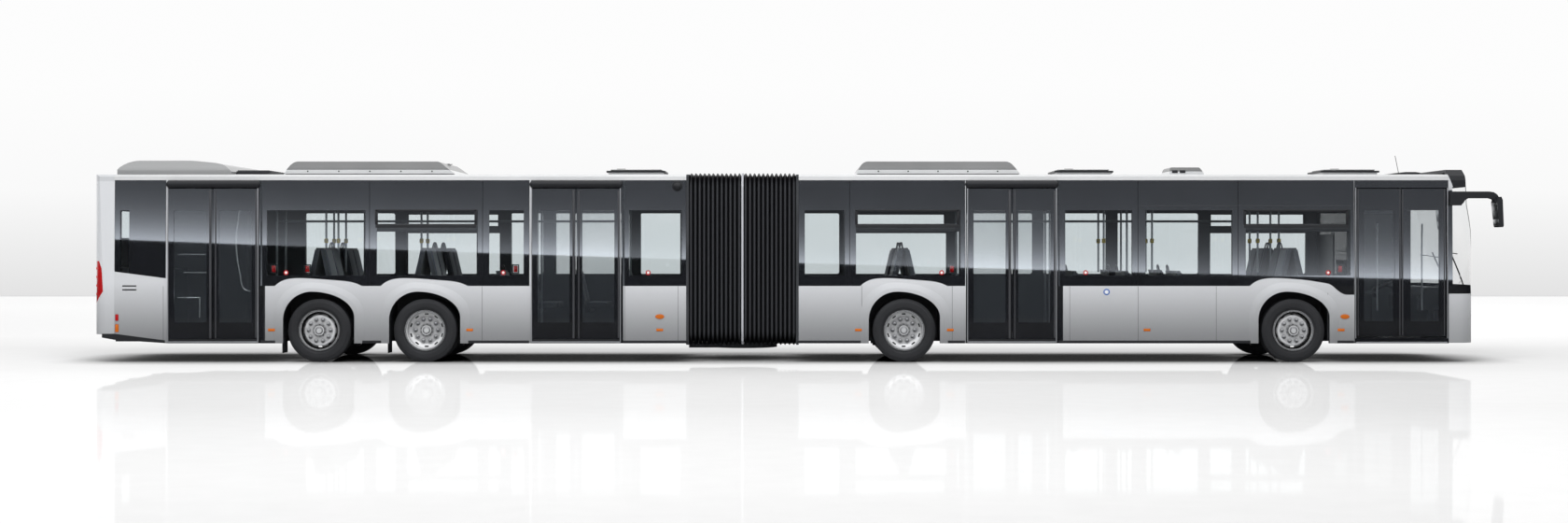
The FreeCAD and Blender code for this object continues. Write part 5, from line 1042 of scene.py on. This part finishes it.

# the floor's evening, mirroring and painted reflection change with y, which grows away from the camera
stage = {"floorBack": 44.0, "floorFront": -240.0, "half": 240.0, "wallTop": 60.0, "wallPale": 8.0,
         "evenY": (-10.0, -4.0), "even": (0.92, 1.12), "paintedShadowReach": 0.9, "paintedShadowPower": 1.8,
         "mirrorY": (-17.0, -3.0), "mirror": (0.15, 0.36), "gloss": 0.03, "liftY": (0.0, 40.0),
         "paintedReflectionY": (-5.0, -55.0)}


def plane(name, corners, look):
    bm = bmesh.new()
    bm.faces.new([bm.verts.new(corner) for corner in corners])
    mesh = bpy.data.meshes.new(name)
    bm.to_mesh(mesh)
    bm.free()
    mesh.materials.append(look)
    piece = bpy.data.objects.new(name, mesh)
    scene.collection.objects.link(piece)


def greys(tree, value, stops):
    return ramp(tree, value, [(position, (shade, shade, shade)) for position, shade in stops])


def diffuse(tree, colour):
    return add(tree, "ShaderNodeBsdfDiffuse", {"Color": colour}).outputs[0]


def glow(tree, colour):
    return add(tree, "ShaderNodeEmission", {"Color": colour}).outputs[0]


def stageFloor(tree, coords):
    x, y, z = separate(tree, coords)
    rays = add(tree, "ShaderNodeLightPath").outputs
    pale = greys(tree, noise(tree, coords, 3.0), [(0.3, 0.86), (0.7, 0.88)])
    # the camera sees a floor evened out in front, with a painted shadow from ambient occlusion where the bus
    # stands close over it
    paintedShadowOpenness = occlusion(tree, stage["paintedShadowReach"])
    even = between(tree, grade(tree, y, *stage["evenY"]), *stage["even"])
    even = times(tree, even, maths(tree, "POWER", paintedShadowOpenness, stage["paintedShadowPower"]))
    share = between(tree, grade(tree, y, *stage["mirrorY"]), *stage["mirror"])
    gloss = add(tree, "ShaderNodeBsdfGlossy", {"Roughness": stage["gloss"]}).outputs[0]
    seen = mixShader(tree, times(tree, share, paintedShadowOpenness), diffuse(tree, scaled(tree, pale, even)), gloss)
    rising = greys(tree, grade(tree, y, *stage["liftY"]), [(0.075, 0), (0.2, 0.11), (0.7, 0.2)])
    lifted = add(tree, "ShaderNodeAddShader", {0: seen, 1: glow(tree, rising)}).outputs[0]
    shown = mixShader(tree, rays["Is Camera Ray"], diffuse(tree, pale), lifted)
    # painted reflection: polished surfaces see a dim glowing floor, darkest near the bus as if in its shadow,
    # and brightening with distance from it
    paintedReflectedFloor = ramp(tree, grade(tree, y, *stage["paintedReflectionY"]),
                 [(0.0, (0.006, 0.006, 0.0065)), (0.3, (0.01, 0.01, 0.0105)), (1.0, (0.02, 0.02, 0.02))])
    return mixShader(tree, rays["Is Glossy Ray"], shown, glow(tree, paintedReflectedFloor))


def stageWall(tree, coords):
    height = grade(tree, separate(tree, coords)[2], 0.0, stage["wallPale"])
    pale = glow(tree, greys(tree, height, [(0.0, 0.77), (0.5, 0.95), (1.0, 0.98)]))
    # nothing stands in the way of a view from behind the wall
    isBack = add(tree, "ShaderNodeNewGeometry").outputs["Backfacing"]
    return mixShader(tree, isBack, pale, add(tree, "ShaderNodeBsdfTransparent").outputs[0])


half, back, front, top = stage["half"], stage["floorBack"], stage["floorFront"], stage["wallTop"]
plane("floor", [(-half, front, 0), (half, front, 0), (half, back, 0), (-half, back, 0)],
      material("pale_floor", stageFloor))
plane("backdrop", [(-half, back, 0), (half, back, 0), (half, back, top), (-half, back, top)],
      material("pale_backdrop", stageWall))

# What polished surfaces see: dark low down, a bright edge that fades to charcoal, and pale further up
sky = {"ambient": 0.74, "edgeMiddle": 0.026, "edgeSlope": -0.0302, "fade": 0.0087, "dark": 0.008,
       "charcoal": 0.085, "overhead": 0.85, "overheadLow": 0.10, "overheadHigh": 0.35,
       "cool": (0.96, 1.04, 1.16), "white": (1, 1, 1)}
world = bpy.data.worlds.new("studio")
scene.world = world
world.use_nodes = True
tree = world.node_tree
tree.nodes.clear()


def background(colour, strength=1.0):
    return add(tree, "ShaderNodeBackground", {"Color": colour, "Strength": strength}).outputs[0]


x, y, z = separate(tree, add(tree, "ShaderNodeTexCoord").outputs["Generated"])
rays = add(tree, "ShaderNodeLightPath").outputs
above = maths(tree, "SUBTRACT", z, maths(tree, "MULTIPLY_ADD", x, sky["edgeSlope"], sky["edgeMiddle"]))
falling = maths(tree, "EXPONENT", times(tree, above, -1 / sky["fade"]))
band = maths(tree, "MINIMUM", maths(tree, "ADD", falling, sky["charcoal"]), 1.0)
low = maths(tree, "MAXIMUM", times(tree, band, over(tree, above, 0.0)), sky["dark"])
overhead = times(tree, grade(tree, z, sky["overheadLow"], sky["overheadHigh"]), sky["overhead"])
seen = add(tree, "ShaderNodeVectorMath", {0: scaled(tree, sky["cool"], low), 1: overhead},
           operation="MAXIMUM").outputs[0]
isSeen = maths(tree, "MAXIMUM", rays["Is Camera Ray"], rays["Is Transmission Ray"])
shown = mixShader(tree, rays["Is Glossy Ray"], background(sky["white"], sky["ambient"]), background(seen))
shown = mixShader(tree, isSeen, shown, background(sky["white"]))
tree.links.new(shown, add(tree, "ShaderNodeOutputWorld").inputs["Surface"])

# each lamp: place, turn in degrees, size and power
lamps = {"key": ((-2, -15, 19), (36, 0, -4), 16.0, 3300.0), "fill": ((6, 14, 15), (-40, 0, 170), 14.0, 900.0)}
for name, (place, turn, size, power) in lamps.items():
    lamp = bpy.data.lights.new(name, "AREA")
    lamp.shape = "DISK"
    lamp.size = size
    lamp.energy = power
    lampObject = bpy.data.objects.new(name, lamp)
    lampObject.location = place
    lampObject.rotation_euler = [math.radians(angle) for angle in turn]
    lampObject.visible_glossy = False
    scene.collection.objects.link(lampObject)
scene.view_settings.view_transform = "Standard"
print("camera, light and stage set")
